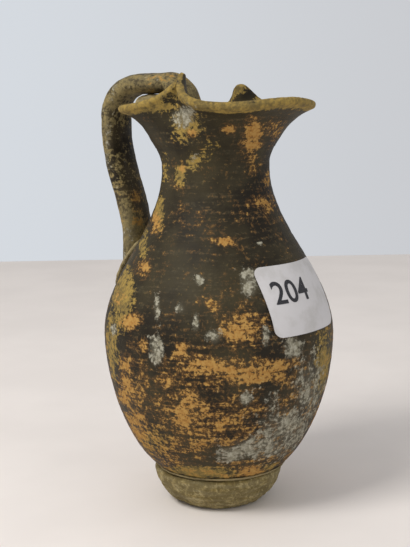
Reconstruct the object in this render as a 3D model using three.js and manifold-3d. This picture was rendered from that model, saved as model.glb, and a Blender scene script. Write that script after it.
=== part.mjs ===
// Oinochoe: a small Greek wine jug with a pinched trefoil mouth and a high strap handle.
// Millimetres, +Z up. The wheel axis is Z, the underside of the foot lies on Z = 0,
// the pouring lobe points along +X and the handle stands on the -X side.
// The jug is built as a potter builds it: foot, belly, neck and mouth are thrown apart and set
// on each other with slip, the mouth is pinched while soft, and the pulled handle is luted on.
import * as THREE from 'three';
import * as BufferGeometryUtils from 'three/addons/utils/BufferGeometryUtils.js';
import Module from 'manifold-3d';

const wasm = await Module();
wasm.setup();

// Driving dimensions: foot
const FOOT_HEIGHT = 12.4;
const FOOT_TOP_RADIUS = 22.5;
const FOOT_REST_RADIUS = 14;
const FOOT_SHOULDER = 1.1;
const FOOT_BULGE = 1.25;
const FOOT_OFF_CENTRE = 1;
const FOOT_OFF_CENTRE_ANGLE = -151;

// Driving dimensions: outline of belly and neck. A rise is counted from the piece below.
const BELLY_RADIUS = 40;
const BELLY_RISE = 47.5;
const BELLY_ROUNDNESS = 21.2;
const BASE_RADIUS = 20.9;
const BASE_FLARE = 9.2;
const BASE_FLARE_RISE = 5.3;
const WAIST_RADIUS = 18.6;
const WAIST_RISE = 57.1;
const WAIST_ROUNDNESS = 20.5;
const FLARE_RISE = 7;
const FLARE_SLOPE = 0.55;
const NECK_LENGTH = 30;

// Driving dimensions: walls and the joints between the thrown pieces
const BELLY_WALL = 4;
const NECK_WALL = 3.4;
const LIP_WALL = 3.2;
const FLOOR_WALL = 5;
const FLOOR_DISH = 6;
const SLIP_GAP = 0.3;
const LAP_DEPTH = 2.2;
const LAP_LEDGE = 1.8;
const BEAD_HEIGHT = 1.3;
const BEAD_GAP = 0.48;

// Driving dimensions: trefoil mouth. Angles are bearings in degrees from the spout.
const MOUTH_RISE = 13.2;
const SPOUT_REACH = 33.4;
const CHEEK_REACH = 31.5;
const CHEEK_ANGLE = 60;
const SIDE_LOBE_REACH = 32.6;
const SIDE_LOBE_ANGLE = 135;
const SPOUT_LIFT = 1.9;
const SPOUT_LIFT_ANGLE = -14;
const SPOUT_LIFT_SPREAD = 28;
const SPOUT_LIP_ANGLE = 26;
const LOBE_LIP_ANGLE = 14;
const FOLD_LIP_ANGLE = 84;
const FLARE_PULL = 0.4;
const LIP_PULL = 0.42;
const FOLD_ROUNDNESS = 1.5;

// The two pinches and the back fold that carries the handle. Each draws the rim in to its radius,
// over a spread towards the spout and another away from it, and lifts it to a peak.
const RIGHT_PINCH = {
  angle: -92.5, radius: 19.6, spoutSpread: 10, spread: 21, lift: 10.4, liftSpread: 11.5, liftPower: 1,
};
const LEFT_PINCH = {
  angle: 92.5, radius: 19.6, spoutSpread: 16, spread: 21, lift: 6.5, liftSpread: 8.5, liftPower: 2,
};
const BACK_FOLD = {
  angle: 180, radius: 16.8, spoutSpread: 19, spread: 19, lift: 2.5, liftSpread: 15, liftPower: 2,
};
const FOLDS = [RIGHT_PINCH, LEFT_PINCH, BACK_FOLD];

// Driving dimensions: strap handle. Its middle line runs in the upright plane through the spout.
const STRAP_WIDTH = 15.2;
const STRAP_THICKNESS = 8.2;
const STRAP_ROOT_WIDTH = 19;
const STRAP_TAIL_THINNING = 0.35;
const STRAP_REACH = 40.6;
const STRAP_ARCH_RISE = 8.7;
const STRAP_ROOT_DROP = 18;
const STRAP_ROOT_SINK = 3.8;
const STRAP_ROOT_LENGTH = 8;
const OUTER_BEND_REACH = 12;
const OUTER_BEND_DROP = 11;
const INNER_BEND_REACH = 7.2;
const INNER_BEND_DROP = 10;
const STRAP_TAIL_LENGTH = 9;

// Shares of the strap's length where its root stops spreading and where its tail starts to
// spread and to thin, and shares of the mouth's wall over which it leaves the round joint
const STRAP_ROOT_SPREAD_END = 0.22;
const STRAP_TAIL_SPREAD_START = 0.8;
const STRAP_TAIL_THINNING_START = 0.88;
const MOUTH_TURNING_SHARE = 0.3;
const MOUTH_THINNING_SHARE = 0.6;

// How far a curve's handles reach towards the corner in a round quarter turn
const QUARTER_TURN_PULL = 0.552;

// Driving dimensions: clay smeared over the two ends of the handle
const LOWER_LUTING = { thickness: 4.4, halfWidth: 12, halfLength: 14, aboveRoot: 7 };
const UPPER_LUTING = { halfDepth: 6.5, halfWidth: 6.6, halfHeight: 9, behindFold: 6.5 };

// Driving dimensions: paper label on the belly
const LABEL_WIDTH = 33;
const LABEL_HEIGHT = 24;
const LABEL_CORNER = 3;
const LABEL_THICKNESS = 0.3;
const LABEL_ANGLE = -9;
const LABEL_DROP = 18.4;

// Facets
const WHEEL_FACETS = 60;
const MOUTH_FACETS = 84;
const MOUTH_FACET_CROWDING = 0.45;
const STRAP_FACETS = 18;
const STRAP_STEPS = 36;
const LUMP_FACETS = 24;

// Heights that follow from the rises
const WIDEST_HEIGHT = FOOT_HEIGHT + BELLY_RISE;
const WAIST_HEIGHT = WIDEST_HEIGHT + WAIST_RISE;
const MOUTH_JOINT_HEIGHT = WAIST_HEIGHT + FLARE_RISE;
const NECK_JOINT_HEIGHT = MOUTH_JOINT_HEIGHT - NECK_LENGTH;
const RIM_HEIGHT = MOUTH_JOINT_HEIGHT + MOUTH_RISE;

const { lerp, smoothstep, degToRad, radToDeg } = THREE.MathUtils;

// Outline of the thrown wall from the foot joint to the mouth joint, as radius and height
const widest = new THREE.Vector2(BELLY_RADIUS, WIDEST_HEIGHT);
const waist = new THREE.Vector2(WAIST_RADIUS, WAIST_HEIGHT);
const outlineCurves = [
  new THREE.CubicBezierCurve(
    new THREE.Vector2(BASE_RADIUS, FOOT_HEIGHT),
    new THREE.Vector2(BASE_RADIUS + BASE_FLARE, FOOT_HEIGHT + BASE_FLARE_RISE),
    new THREE.Vector2(BELLY_RADIUS, WIDEST_HEIGHT - BELLY_ROUNDNESS),
    widest,
  ),
  new THREE.CubicBezierCurve(
    widest,
    new THREE.Vector2(BELLY_RADIUS, WIDEST_HEIGHT + BELLY_ROUNDNESS),
    new THREE.Vector2(WAIST_RADIUS, WAIST_HEIGHT - WAIST_ROUNDNESS),
    waist,
  ),
  new THREE.QuadraticBezierCurve(
    waist,
    new THREE.Vector2(WAIST_RADIUS, WAIST_HEIGHT + FLARE_RISE / 2),
    new THREE.Vector2(WAIST_RADIUS + FLARE_SLOPE * FLARE_RISE / 2, MOUTH_JOINT_HEIGHT),
  ),
];

// Radius of the outline at a height, and how much it grows per millimetre of height
function outlineAt(height) {
  const curve = outlineCurves.find((one) => height <= one.getPoint(1).y) ?? outlineCurves.at(-1);
  let low = 0;
  let high = 1;
  while (high - low > 1e-9) {
    const middle = (low + high) / 2;
    if (curve.getPoint(middle).y < height) low = middle;
    else high = middle;
  }
  const tangent = curve.getTangent(THREE.MathUtils.clamp(low, 1e-4, 1 - 1e-4));
  return { radius: curve.getPoint(low).x, slope: tangent.x / tangent.y };
}

// The wall grows thinner from the belly to the neck
function wallAt(height) {
  return lerp(BELLY_WALL, NECK_WALL, smoothstep(height, WIDEST_HEIGHT, WAIST_HEIGHT));
}

// Radius of the wall's outside, or of a face a given depth inside it
function faceRadius(height, depth) {
  const { radius, slope } = outlineAt(height);
  return radius - depth * Math.hypot(1, slope);
}

const outerRadius = (height) => faceRadius(height, 0);
const innerRadius = (height) => faceRadius(height, wallAt(height));
const grownRadius = (height) => faceRadius(height, -SLIP_GAP);

// Points of a wall face at even heights, both ends included
function wallFace(radiusAt, from, to, steps) {
  return Array.from({ length: steps + 1 }, (_, i) => {
    const height = lerp(from, to, i / steps);
    return new THREE.Vector2(radiusAt(height), height);
  });
}

// A closed profile turned on the wheel, with Z up
function turned(profile) {
  return new THREE.LatheGeometry(profile, WHEEL_FACETS).rotateX(Math.PI / 2);
}

function meshFrom(points, indices) {
  const geometry = new THREE.BufferGeometry().setFromPoints(points);
  geometry.setIndex(indices);
  return geometry;
}

// Rings of equally many points skinned into one closed body. The last ring joins the first one,
// or flat caps close both ends.
function skinned(rings, closedLoop) {
  const count = rings[0].length;
  const points = rings.flat();
  const indices = [];
  const spans = closedLoop ? rings.length : rings.length - 1;
  for (let i = 0; i < spans; i++) {
    const here = i * count;
    const next = ((i + 1) % rings.length) * count;
    for (let j = 0; j < count; j++) {
      const k = (j + 1) % count;
      indices.push(here + j, here + k, next + k);
      indices.push(here + j, next + k, next + j);
    }
  }
  if (!closedLoop) {
    for (const end of [0, rings.length - 1]) {
      const hub = rings[end].reduce((sum, point) => sum.add(point), new THREE.Vector3());
      points.push(hub.divideScalar(count));
      for (let j = 0; j < count; j++) {
        const edge = [end * count + j, end * count + (j + 1) % count];
        if (end === 0) edge.reverse();
        indices.push(...edge, points.length - 1);
      }
    }
  }
  return meshFrom(points, indices);
}

// Solids for cutting clay where two pieces meet
function solidOf(geometry) {
  const bare = geometry.clone();
  bare.deleteAttribute('normal');
  bare.deleteAttribute('uv');
  const merged = BufferGeometryUtils.mergeVertices(bare, 1e-4);
  return new wasm.Manifold(new wasm.Mesh({
    numProp: 3,
    vertProperties: new Float32Array(merged.attributes.position.array),
    triVerts: new Uint32Array(merged.index.array),
  }));
}

function geometryOf(solid) {
  const mesh = solid.getMesh();
  const geometry = new THREE.BufferGeometry();
  geometry.setAttribute('position', new THREE.BufferAttribute(new Float32Array(mesh.vertProperties), 3));
  geometry.setIndex(new THREE.BufferAttribute(new Uint32Array(mesh.triVerts), 1));
  return geometry;
}

// A blank of clay cut back from what it is pressed on. Only its largest body is kept.
function fitted(blank, ...neighbours) {
  const cut = neighbours.reduce((rest, neighbour) => rest.subtract(neighbour), solidOf(blank));
  return geometryOf(cut.decompose().reduce((a, b) => (a.volume() >= b.volume() ? a : b)));
}

// Foot: a solid disc, rounded under to a smaller resting face
function footGeometry() {
  const steps = 6;
  const shoulderHeight = FOOT_HEIGHT - FOOT_SHOULDER;
  const flank = Array.from({ length: steps + 1 }, (_, i) => {
    const turn = (i / steps) * Math.PI / 2;
    const out = Math.sin(turn) ** FOOT_BULGE;
    const up = 1 - Math.cos(turn) ** FOOT_BULGE;
    return new THREE.Vector2(lerp(FOOT_REST_RADIUS, FOOT_TOP_RADIUS, out), shoulderHeight * up);
  });
  const shoulderArc = FOOT_SHOULDER * (1 - Math.SQRT1_2);
  return turned([
    new THREE.Vector2(0, 0),
    ...flank,
    new THREE.Vector2(FOOT_TOP_RADIUS - shoulderArc, FOOT_HEIGHT - shoulderArc),
    new THREE.Vector2(FOOT_TOP_RADIUS - FOOT_SHOULDER, FOOT_HEIGHT),
    new THREE.Vector2(0, FOOT_HEIGHT),
  ]);
}

// Bead of slip wiped round the angle between the foot and the belly
function footBeadGeometry() {
  const top = FOOT_HEIGHT + BEAD_HEIGHT;
  const middle = FOOT_HEIGHT + BEAD_HEIGHT / 2;
  const start = new THREE.Vector2(BASE_RADIUS + BEAD_GAP, FOOT_HEIGHT);
  return turned([
    start,
    new THREE.Vector2(FOOT_TOP_RADIUS - FOOT_SHOULDER, FOOT_HEIGHT),
    new THREE.Vector2(outerRadius(middle) + 2 * BEAD_GAP, middle),
    new THREE.Vector2(outerRadius(top) + BEAD_GAP, top),
    new THREE.Vector2(outerRadius(middle) + BEAD_GAP, middle),
    start,
  ]);
}

// Belly: a thrown shell with a dished floor and a rebate at its top for the neck
function bellyGeometry() {
  const top = NECK_JOINT_HEIGHT;
  const seat = top - LAP_DEPTH;
  const dishTop = FOOT_HEIGHT + FLOOR_WALL + FLOOR_DISH;
  const dishSteps = 4;
  const dish = Array.from({ length: dishSteps }, (_, i) => {
    const turn = (1 - (i + 1) / dishSteps) * Math.PI / 2;
    return new THREE.Vector2(
      innerRadius(dishTop) * Math.sin(turn),
      dishTop - FLOOR_DISH * Math.cos(turn),
    );
  });
  return turned([
    new THREE.Vector2(0, FOOT_HEIGHT),
    ...wallFace(outerRadius, FOOT_HEIGHT, top, 14),
    new THREE.Vector2(outerRadius(top) - LAP_LEDGE, top),
    new THREE.Vector2(outerRadius(top) - LAP_LEDGE, seat),
    ...wallFace(innerRadius, seat, dishTop, 7),
    ...dish,
  ]);
}

// Profile of a spigot that drops inside the rebate of the piece below
function spigot(joint) {
  const outside = outerRadius(joint) - LAP_LEDGE - SLIP_GAP;
  const end = joint - LAP_DEPTH + SLIP_GAP;
  return [
    new THREE.Vector2(innerRadius(end), end),
    new THREE.Vector2(outside, end),
    new THREE.Vector2(outside, joint),
  ];
}

// Neck: a thrown sleeve with a spigot below and a rebate above
function neckGeometry() {
  const bottom = NECK_JOINT_HEIGHT;
  const top = MOUTH_JOINT_HEIGHT;
  const seat = top - LAP_DEPTH;
  return turned([
    ...wallFace(outerRadius, bottom, top, 7),
    new THREE.Vector2(outerRadius(top) - LAP_LEDGE, top),
    new THREE.Vector2(outerRadius(top) - LAP_LEDGE, seat),
    ...wallFace(innerRadius, seat, bottom, 5),
    ...spigot(bottom),
    new THREE.Vector2(outerRadius(bottom), bottom),
  ]);
}

// Angle between two bearings, from -180 to 180 degrees
function bearingOff(angle, centre) {
  return THREE.MathUtils.euclideanModulo(angle - centre + 180, 360) - 180;
}

// How strongly a fold acts at a bearing: 1 on the fold, fading to 0 on the lobes
function foldStrength(fold, angle) {
  const off = bearingOff(angle, fold.angle);
  const towardsSpout = off * Math.sign(fold.angle) < 0;
  const spread = towardsSpout ? fold.spoutSpread : fold.spread;
  return Math.exp(-((Math.abs(off) / spread) ** FOLD_ROUNDNESS));
}

function foldLift(fold, angle) {
  const off = Math.hypot(bearingOff(angle, fold.angle), FOLD_ROUNDNESS) - FOLD_ROUNDNESS;
  return fold.lift * Math.exp(-((off / fold.liftSpread) ** fold.liftPower));
}

// Rim of the trefoil mouth at a bearing: its reach, its height and the lean of the lip
function rimAt(angle) {
  const off = Math.abs(bearingOff(angle, 0));
  const pastSpout = smoothstep(off, 0, CHEEK_ANGLE);
  const front = lerp(SPOUT_REACH, CHEEK_REACH, pastSpout);
  const open = lerp(front, SIDE_LOBE_REACH, smoothstep(off, CHEEK_ANGLE, SIDE_LOBE_ANGLE));
  const offLift = bearingOff(angle, SPOUT_LIFT_ANGLE) / SPOUT_LIFT_SPREAD;
  const strengths = FOLDS.map((fold) => foldStrength(fold, angle));
  const drawnIn = FOLDS.map((fold, i) => (open - fold.radius) * strengths[i]);
  const lifts = FOLDS.map((fold) => foldLift(fold, angle));
  const sum = (values) => values.reduce((a, b) => a + b, 0);
  return {
    reach: open - sum(drawnIn),
    height: RIM_HEIGHT + SPOUT_LIFT * Math.exp(-(offLift ** 2)) + sum(lifts),
    lean: lerp(lerp(SPOUT_LIP_ANGLE, LOBE_LIP_ANGLE, pastSpout), FOLD_LIP_ANGLE, Math.max(...strengths)),
  };
}

// Where the mouth's wall stands on the neck
const mouthBase = {
  outer: outerRadius(MOUTH_JOINT_HEIGHT),
  inner: innerRadius(MOUTH_JOINT_HEIGHT),
};
mouthBase.middle = (mouthBase.outer + mouthBase.inner) / 2;
mouthBase.halfWall = (mouthBase.outer - mouthBase.inner) / 2;

// Middle of the mouth's wall, at a bearing and a share of the way from the joint to the lip
function mouthPoint(angle, share) {
  const rim = rimAt(angle);
  const start = new THREE.Vector2(mouthBase.middle, MOUTH_JOINT_HEIGHT);
  const end = new THREE.Vector2(rim.reach, rim.height);
  const span = start.distanceTo(end);
  const rise = new THREE.Vector2(FLARE_SLOPE, 1).setLength(FLARE_PULL * span);
  const lean = new THREE.Vector2(LIP_PULL * span, 0)
    .rotateAround(new THREE.Vector2(), degToRad(rim.lean));
  const meridian = new THREE.CubicBezierCurve(start, rise.add(start), end.clone().sub(lean), end);
  const point = meridian.getPoint(share);
  const turn = degToRad(angle);
  return new THREE.Vector3(point.x * Math.cos(turn), point.x * Math.sin(turn), point.y);
}

// Directions at a point of the mouth's wall: outwards, and up along the wall to the lip
function mouthDirections(angle, share) {
  const step = 1e-3;
  const high = Math.min(share + step, 1);
  const low = Math.max(share - step, 0);
  const upward = mouthPoint(angle, high).sub(mouthPoint(angle, low)).normalize();
  const round = mouthPoint(angle + 0.1, share).sub(mouthPoint(angle - 0.1, share));
  const normal = round.cross(upward).normalize();
  const turn = degToRad(angle);
  const level = new THREE.Vector3(Math.cos(turn), Math.sin(turn), 0);
  const outward = level.lerp(normal, smoothstep(share, 0, MOUTH_TURNING_SHARE)).normalize();
  return { outward, upward };
}

// Bearings round the mouth, set closer together at the pinches
const mouthBearings = Array.from({ length: MOUTH_FACETS }, (_, j) => {
  const even = (j / MOUTH_FACETS) * 2 * Math.PI;
  return radToDeg(even + (MOUTH_FACET_CROWDING / 2) * Math.sin(2 * even));
});

// A ring of points on the mouth's wall: turned 0 degrees about the wall's middle it lies on the
// outside, at 180 degrees on the inside, and in between it rolls over the lip
function mouthRing(share, rolled, allowance) {
  const thinned = smoothstep(share, 0, MOUTH_THINNING_SHARE);
  const halfWall = lerp(mouthBase.halfWall, LIP_WALL / 2, thinned) + allowance;
  return mouthBearings.map((angle) => {
    const { outward, upward } = mouthDirections(angle, share);
    return mouthPoint(angle, share)
      .addScaledVector(outward, halfWall * Math.cos(degToRad(rolled)))
      .addScaledVector(upward, halfWall * Math.sin(degToRad(rolled)));
  });
}

// Trefoil mouth: a lofted wall from the round joint to the three-lobed rim, with a rolled lip.
// The allowance thickens it all round, for cutting clearance into what is luted on.
function mouthGeometry(allowance) {
  const wallSteps = 7;
  const lipSteps = 4;
  const rings = [];
  for (let i = 0; i < wallSteps; i++) rings.push(mouthRing(i / wallSteps, 0, allowance));
  for (let i = 0; i <= lipSteps; i++) rings.push(mouthRing(1, (i / lipSteps) * 180, allowance));
  for (let i = wallSteps - 1; i >= 0; i--) rings.push(mouthRing(i / wallSteps, 180, allowance));
  for (const { x: radius, y: height } of spigot(MOUTH_JOINT_HEIGHT)) {
    rings.push(mouthBearings.map((angle) => {
      const turn = degToRad(angle);
      return new THREE.Vector3(radius * Math.cos(turn), radius * Math.sin(turn), height);
    }));
  }
  return skinned(rings, true);
}

// Middle line of the strap: up from its root on the shoulder, over the back fold of the rim, and
// down inside the throat
function strapRun() {
  const rootHeight = NECK_JOINT_HEIGHT - STRAP_ROOT_DROP;
  const rootReach = outerRadius(rootHeight) - STRAP_ROOT_SINK;
  const top = RIM_HEIGHT + STRAP_ARCH_RISE;
  const throatReach = BACK_FOLD.radius - LIP_WALL / 2 - STRAP_THICKNESS / 2 - SLIP_GAP;
  const at = (reach, height) => new THREE.Vector3(-reach, 0, height);
  const quarterTurn = (from, corner, to) => new THREE.CubicBezierCurve3(
    from,
    from.clone().lerp(corner, QUARTER_TURN_PULL),
    to.clone().lerp(corner, QUARTER_TURN_PULL),
    to,
  );
  const root = at(rootReach, rootHeight);
  const limb = at(rootReach, rootHeight + STRAP_ROOT_LENGTH);
  const elbow = at(STRAP_REACH, top - OUTER_BEND_DROP);
  const halfLimb = (elbow.z - limb.z) / 2;
  const archStart = at(STRAP_REACH - OUTER_BEND_REACH, top);
  const archEnd = at(throatReach + INNER_BEND_REACH, top);
  const tail = at(throatReach, top - INNER_BEND_DROP);
  const tip = at(throatReach, tail.z - STRAP_TAIL_LENGTH);
  const run = new THREE.CurvePath();
  run.add(new THREE.LineCurve3(root, limb));
  run.add(new THREE.CubicBezierCurve3(
    limb, at(rootReach, limb.z + halfLimb), at(STRAP_REACH, elbow.z - halfLimb), elbow,
  ));
  run.add(quarterTurn(elbow, at(STRAP_REACH, top), archStart));
  run.add(new THREE.LineCurve3(archStart, archEnd));
  run.add(quarterTurn(archEnd, at(throatReach, top), tail));
  run.add(new THREE.LineCurve3(tail, tip));
  return run;
}

// Handle: a pulled strap of oval section, spread at both roots and thinned at its inner tail
function strapGeometry(allowance) {
  const run = strapRun();
  const across = new THREE.Vector3(0, 1, 0);
  const rings = Array.from({ length: STRAP_STEPS + 1 }, (_, i) => {
    const share = i / STRAP_STEPS;
    const atRoot = 1 - smoothstep(share, 0, STRAP_ROOT_SPREAD_END);
    const spread = Math.max(atRoot, smoothstep(share, STRAP_TAIL_SPREAD_START, 1));
    const thinning = 1 - STRAP_TAIL_THINNING * smoothstep(share, STRAP_TAIL_THINNING_START, 1);
    const halfWidth = lerp(STRAP_WIDTH, STRAP_ROOT_WIDTH, spread) / 2 + allowance;
    const halfThickness = STRAP_THICKNESS / 2 * thinning + allowance;
    const centre = run.getPointAt(share);
    const face = run.getTangentAt(share).cross(across).normalize();
    return Array.from({ length: STRAP_FACETS }, (_, j) => {
      const turn = (j / STRAP_FACETS) * 2 * Math.PI;
      return centre.clone()
        .addScaledVector(across, halfWidth * Math.cos(turn))
        .addScaledVector(face, halfThickness * Math.sin(turn));
    });
  });
  return skinned(rings, false);
}

// The thrown wall as a solid plug, grown by the slip gap, for seating what is pressed on it
function grownWall() {
  return solidOf(turned([
    new THREE.Vector2(0, FOOT_HEIGHT),
    ...wallFace(grownRadius, FOOT_HEIGHT, MOUTH_JOINT_HEIGHT, 30),
    new THREE.Vector2(0, MOUTH_JOINT_HEIGHT),
  ]));
}

// A lump of clay as an ellipsoid, leaned over by an angle in the handle's plane
function lumpGeometry(halfDepth, halfWidth, halfHeight, lean, centre) {
  return new THREE.SphereGeometry(1, LUMP_FACETS, LUMP_FACETS / 2)
    .rotateX(Math.PI / 2)
    .scale(halfDepth, halfWidth, halfHeight)
    .rotateY(lean)
    .translate(...centre);
}

// Clay smeared round the lower root, flat on the shoulder
function lowerLutingBlank() {
  const { thickness, halfWidth, halfLength, aboveRoot } = LOWER_LUTING;
  const height = NECK_JOINT_HEIGHT - STRAP_ROOT_DROP + aboveRoot;
  const { radius, slope } = outlineAt(height);
  return lumpGeometry(thickness, halfWidth, halfLength, Math.atan(-slope), [-radius, 0, height]);
}

// Clay packed under the strap where it crosses the back fold of the rim
function upperLutingBlank() {
  const { halfDepth, halfWidth, halfHeight, behindFold } = UPPER_LUTING;
  const centre = [-BACK_FOLD.radius - behindFold, 0, RIM_HEIGHT];
  return lumpGeometry(halfDepth, halfWidth, halfHeight, 0, centre);
}

// Paper label: a round-cornered sheet wrapped on the belly
function labelGeometry() {
  const columns = 12;
  const rows = 8;
  const centreHeight = NECK_JOINT_HEIGHT - LABEL_DROP;
  const steepness = Math.hypot(1, outlineAt(centreHeight).slope);
  const halfHeight = LABEL_HEIGHT / 2;
  const grid = Array.from({ length: rows + 1 }, (_, i) => {
    const up = -halfHeight * Math.cos((i / rows) * Math.PI);
    const past = Math.max(Math.abs(up) - (halfHeight - LABEL_CORNER), 0);
    const inset = LABEL_CORNER - Math.sqrt(Math.max(LABEL_CORNER ** 2 - past ** 2, 0));
    const halfWidth = LABEL_WIDTH / 2 - inset;
    return Array.from({ length: columns + 1 }, (_, j) => {
      return { across: lerp(-halfWidth, halfWidth, j / columns), height: centreHeight + up / steepness };
    });
  });
  const onBelly = ({ across, height }, lift) => {
    const turn = degToRad(LABEL_ANGLE) + across / outerRadius(height);
    const radius = faceRadius(height, -lift);
    return new THREE.Vector3(radius * Math.cos(turn), radius * Math.sin(turn), height);
  };
  const sheet = (lift) => grid.map((row) => row.map((spot) => onBelly(spot, lift)));
  return sheetGeometry(sheet(SLIP_GAP + LABEL_THICKNESS), sheet(SLIP_GAP));
}

// Two matching grids of points, front and back, closed into a thin sheet
function sheetGeometry(front, back) {
  const rows = front.length - 1;
  const columns = front[0].length - 1;
  const indices = [];
  const at = (i, j, side) => (side * (rows + 1) + i) * (columns + 1) + j;
  const quad = (a, b, c, d) => indices.push(a, b, c, a, c, d);
  for (let i = 0; i < rows; i++) {
    for (let j = 0; j < columns; j++) {
      quad(at(i, j, 0), at(i, j + 1, 0), at(i + 1, j + 1, 0), at(i + 1, j, 0));
      quad(at(i, j, 1), at(i + 1, j, 1), at(i + 1, j + 1, 1), at(i, j + 1, 1));
    }
    quad(at(i, 0, 0), at(i + 1, 0, 0), at(i + 1, 0, 1), at(i, 0, 1));
    quad(at(i, columns, 0), at(i, columns, 1), at(i + 1, columns, 1), at(i + 1, columns, 0));
  }
  for (let j = 0; j < columns; j++) {
    quad(at(0, j, 0), at(0, j, 1), at(0, j + 1, 1), at(0, j + 1, 0));
    quad(at(rows, j, 0), at(rows, j + 1, 0), at(rows, j + 1, 1), at(rows, j, 1));
  }
  return meshFrom([...front.flat(), ...back.flat()], indices);
}

// Clay, slip and paper
const wornGloss = new THREE.MeshStandardMaterial({ color: 0x4a4035, roughness: 0.5, metalness: 0 });
const bareClay = new THREE.MeshStandardMaterial({ color: 0x8f7a45, roughness: 0.85, metalness: 0 });
const slipClay = new THREE.MeshStandardMaterial({ color: 0xa09070, roughness: 0.9, metalness: 0 });
const whitePaper = new THREE.MeshStandardMaterial({ color: 0xececed, roughness: 0.7, metalness: 0 });

const oinochoe = new THREE.Group();
oinochoe.name = 'oinochoe';

function addPiece(name, geometry, material) {
  const mesh = new THREE.Mesh(geometry, material);
  mesh.name = name;
  oinochoe.add(mesh);
  return mesh;
}

// The thrown pieces. The foot was set on slightly off the wheel axis.
const footShift = new THREE.Vector3(FOOT_OFF_CENTRE, 0, 0)
  .applyAxisAngle(new THREE.Vector3(0, 0, 1), degToRad(FOOT_OFF_CENTRE_ANGLE));
addPiece('foot', footGeometry(), bareClay).position.copy(footShift);
addPiece('foot_luting_bead', footBeadGeometry(), slipClay);
addPiece('belly', bellyGeometry(), wornGloss);
addPiece('neck', neckGeometry(), wornGloss);
addPiece('trefoil_mouth', mouthGeometry(0), wornGloss);

// The handle and the clay that lutes it on, each pressed against what carries it
const wall = grownWall();
const mouth = solidOf(mouthGeometry(SLIP_GAP));
const strap = solidOf(strapGeometry(SLIP_GAP));
addPiece('handle', fitted(strapGeometry(0), wall, mouth), wornGloss);
addPiece('handle_lower_luting', fitted(lowerLutingBlank(), wall, strap), slipClay);
addPiece('handle_upper_luting', fitted(upperLutingBlank(), wall, mouth, strap), slipClay);
addPiece('label', labelGeometry(), whitePaper);

export default oinochoe;
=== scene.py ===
"""A small wheel-thrown wine jug with a trefoil mouth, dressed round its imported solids.

Lengths are in metres in the jug's own frame: Z is the wheel axis, the foot stands on Z = 0, the
pouring lobe points along +X and the handle stands on the -X side. Sizes inside the classes are in
millimetres, as a potter would give them, and MM turns them into metres.
"""

import logging
import math
from dataclasses import dataclass
from enum import Enum
from functools import lru_cache

import bmesh
import bpy
import numpy as np
from mathutils import Matrix, Vector, noise

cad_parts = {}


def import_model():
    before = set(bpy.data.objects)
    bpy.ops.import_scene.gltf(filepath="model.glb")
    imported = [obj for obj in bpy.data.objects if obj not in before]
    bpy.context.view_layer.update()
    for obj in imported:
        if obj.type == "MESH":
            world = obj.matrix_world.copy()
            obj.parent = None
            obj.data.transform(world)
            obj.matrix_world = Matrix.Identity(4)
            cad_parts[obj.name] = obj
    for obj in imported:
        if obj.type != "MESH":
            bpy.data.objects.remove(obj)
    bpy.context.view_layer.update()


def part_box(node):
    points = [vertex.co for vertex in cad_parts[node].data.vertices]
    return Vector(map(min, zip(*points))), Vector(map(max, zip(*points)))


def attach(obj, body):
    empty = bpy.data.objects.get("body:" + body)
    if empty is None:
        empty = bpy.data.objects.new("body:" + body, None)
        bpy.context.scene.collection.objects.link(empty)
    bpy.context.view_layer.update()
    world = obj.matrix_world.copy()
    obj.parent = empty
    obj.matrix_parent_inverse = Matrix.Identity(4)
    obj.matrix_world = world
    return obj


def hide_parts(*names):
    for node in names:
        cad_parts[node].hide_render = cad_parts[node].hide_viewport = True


MM = 0.001
LOG = logging.getLogger("oinochoe")
WEAR_ATTRIBUTE = "wear"
SHARP_EDGE = math.radians(50)
SLIP_GAP = 0.3
PRESSED_SINK = 0.8
MERGE_DISTANCE = 1e-4
CURVE_STEPS = 200
PATCH_FADE = 0.62
EDGE_ON_GAIN = 5.0
TURNED_GAIN = 1.6
INNER_FACING = -0.05
SMALLEST_REACH = 1e-6
FOLD_POWER = 1.5
FOLD_SOFTENING = 1.5
OBJECT_COORDINATES = 3
DOT_PRODUCT_VALUE = 1

Pair = tuple[float, float]
Triple = tuple[float, float, float]
Colour = tuple[float, float, float, float]

EVEN: Triple = (1.0, 1.0, 1.0)


class Wear(Enum):
    """What shows where the dark gloss is gone. Each value is a channel of the wear attribute."""

    CLAY = 0
    LIME = 1
    TAN = 2


@dataclass(frozen=True)
class Patch:
    """One worn patch, placed on the photograph's 410 by 547 pixels."""

    wear: Wear
    x: float
    y: float
    half_width: float
    half_height: float
    strength: float = 0.8

    def level(self, pixels: np.ndarray) -> np.ndarray:
        """How worn each point is by this patch.

        Args:
            pixels: Where the points lie in the photograph.

        Returns:
            Levels from 0 to the patch's strength.
        """
        across = (pixels[:, 0] - self.x) / self.half_width
        down = (pixels[:, 1] - self.y) / self.half_height
        return self.strength * np.exp(-PATCH_FADE * (across**2 + down**2))


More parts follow.
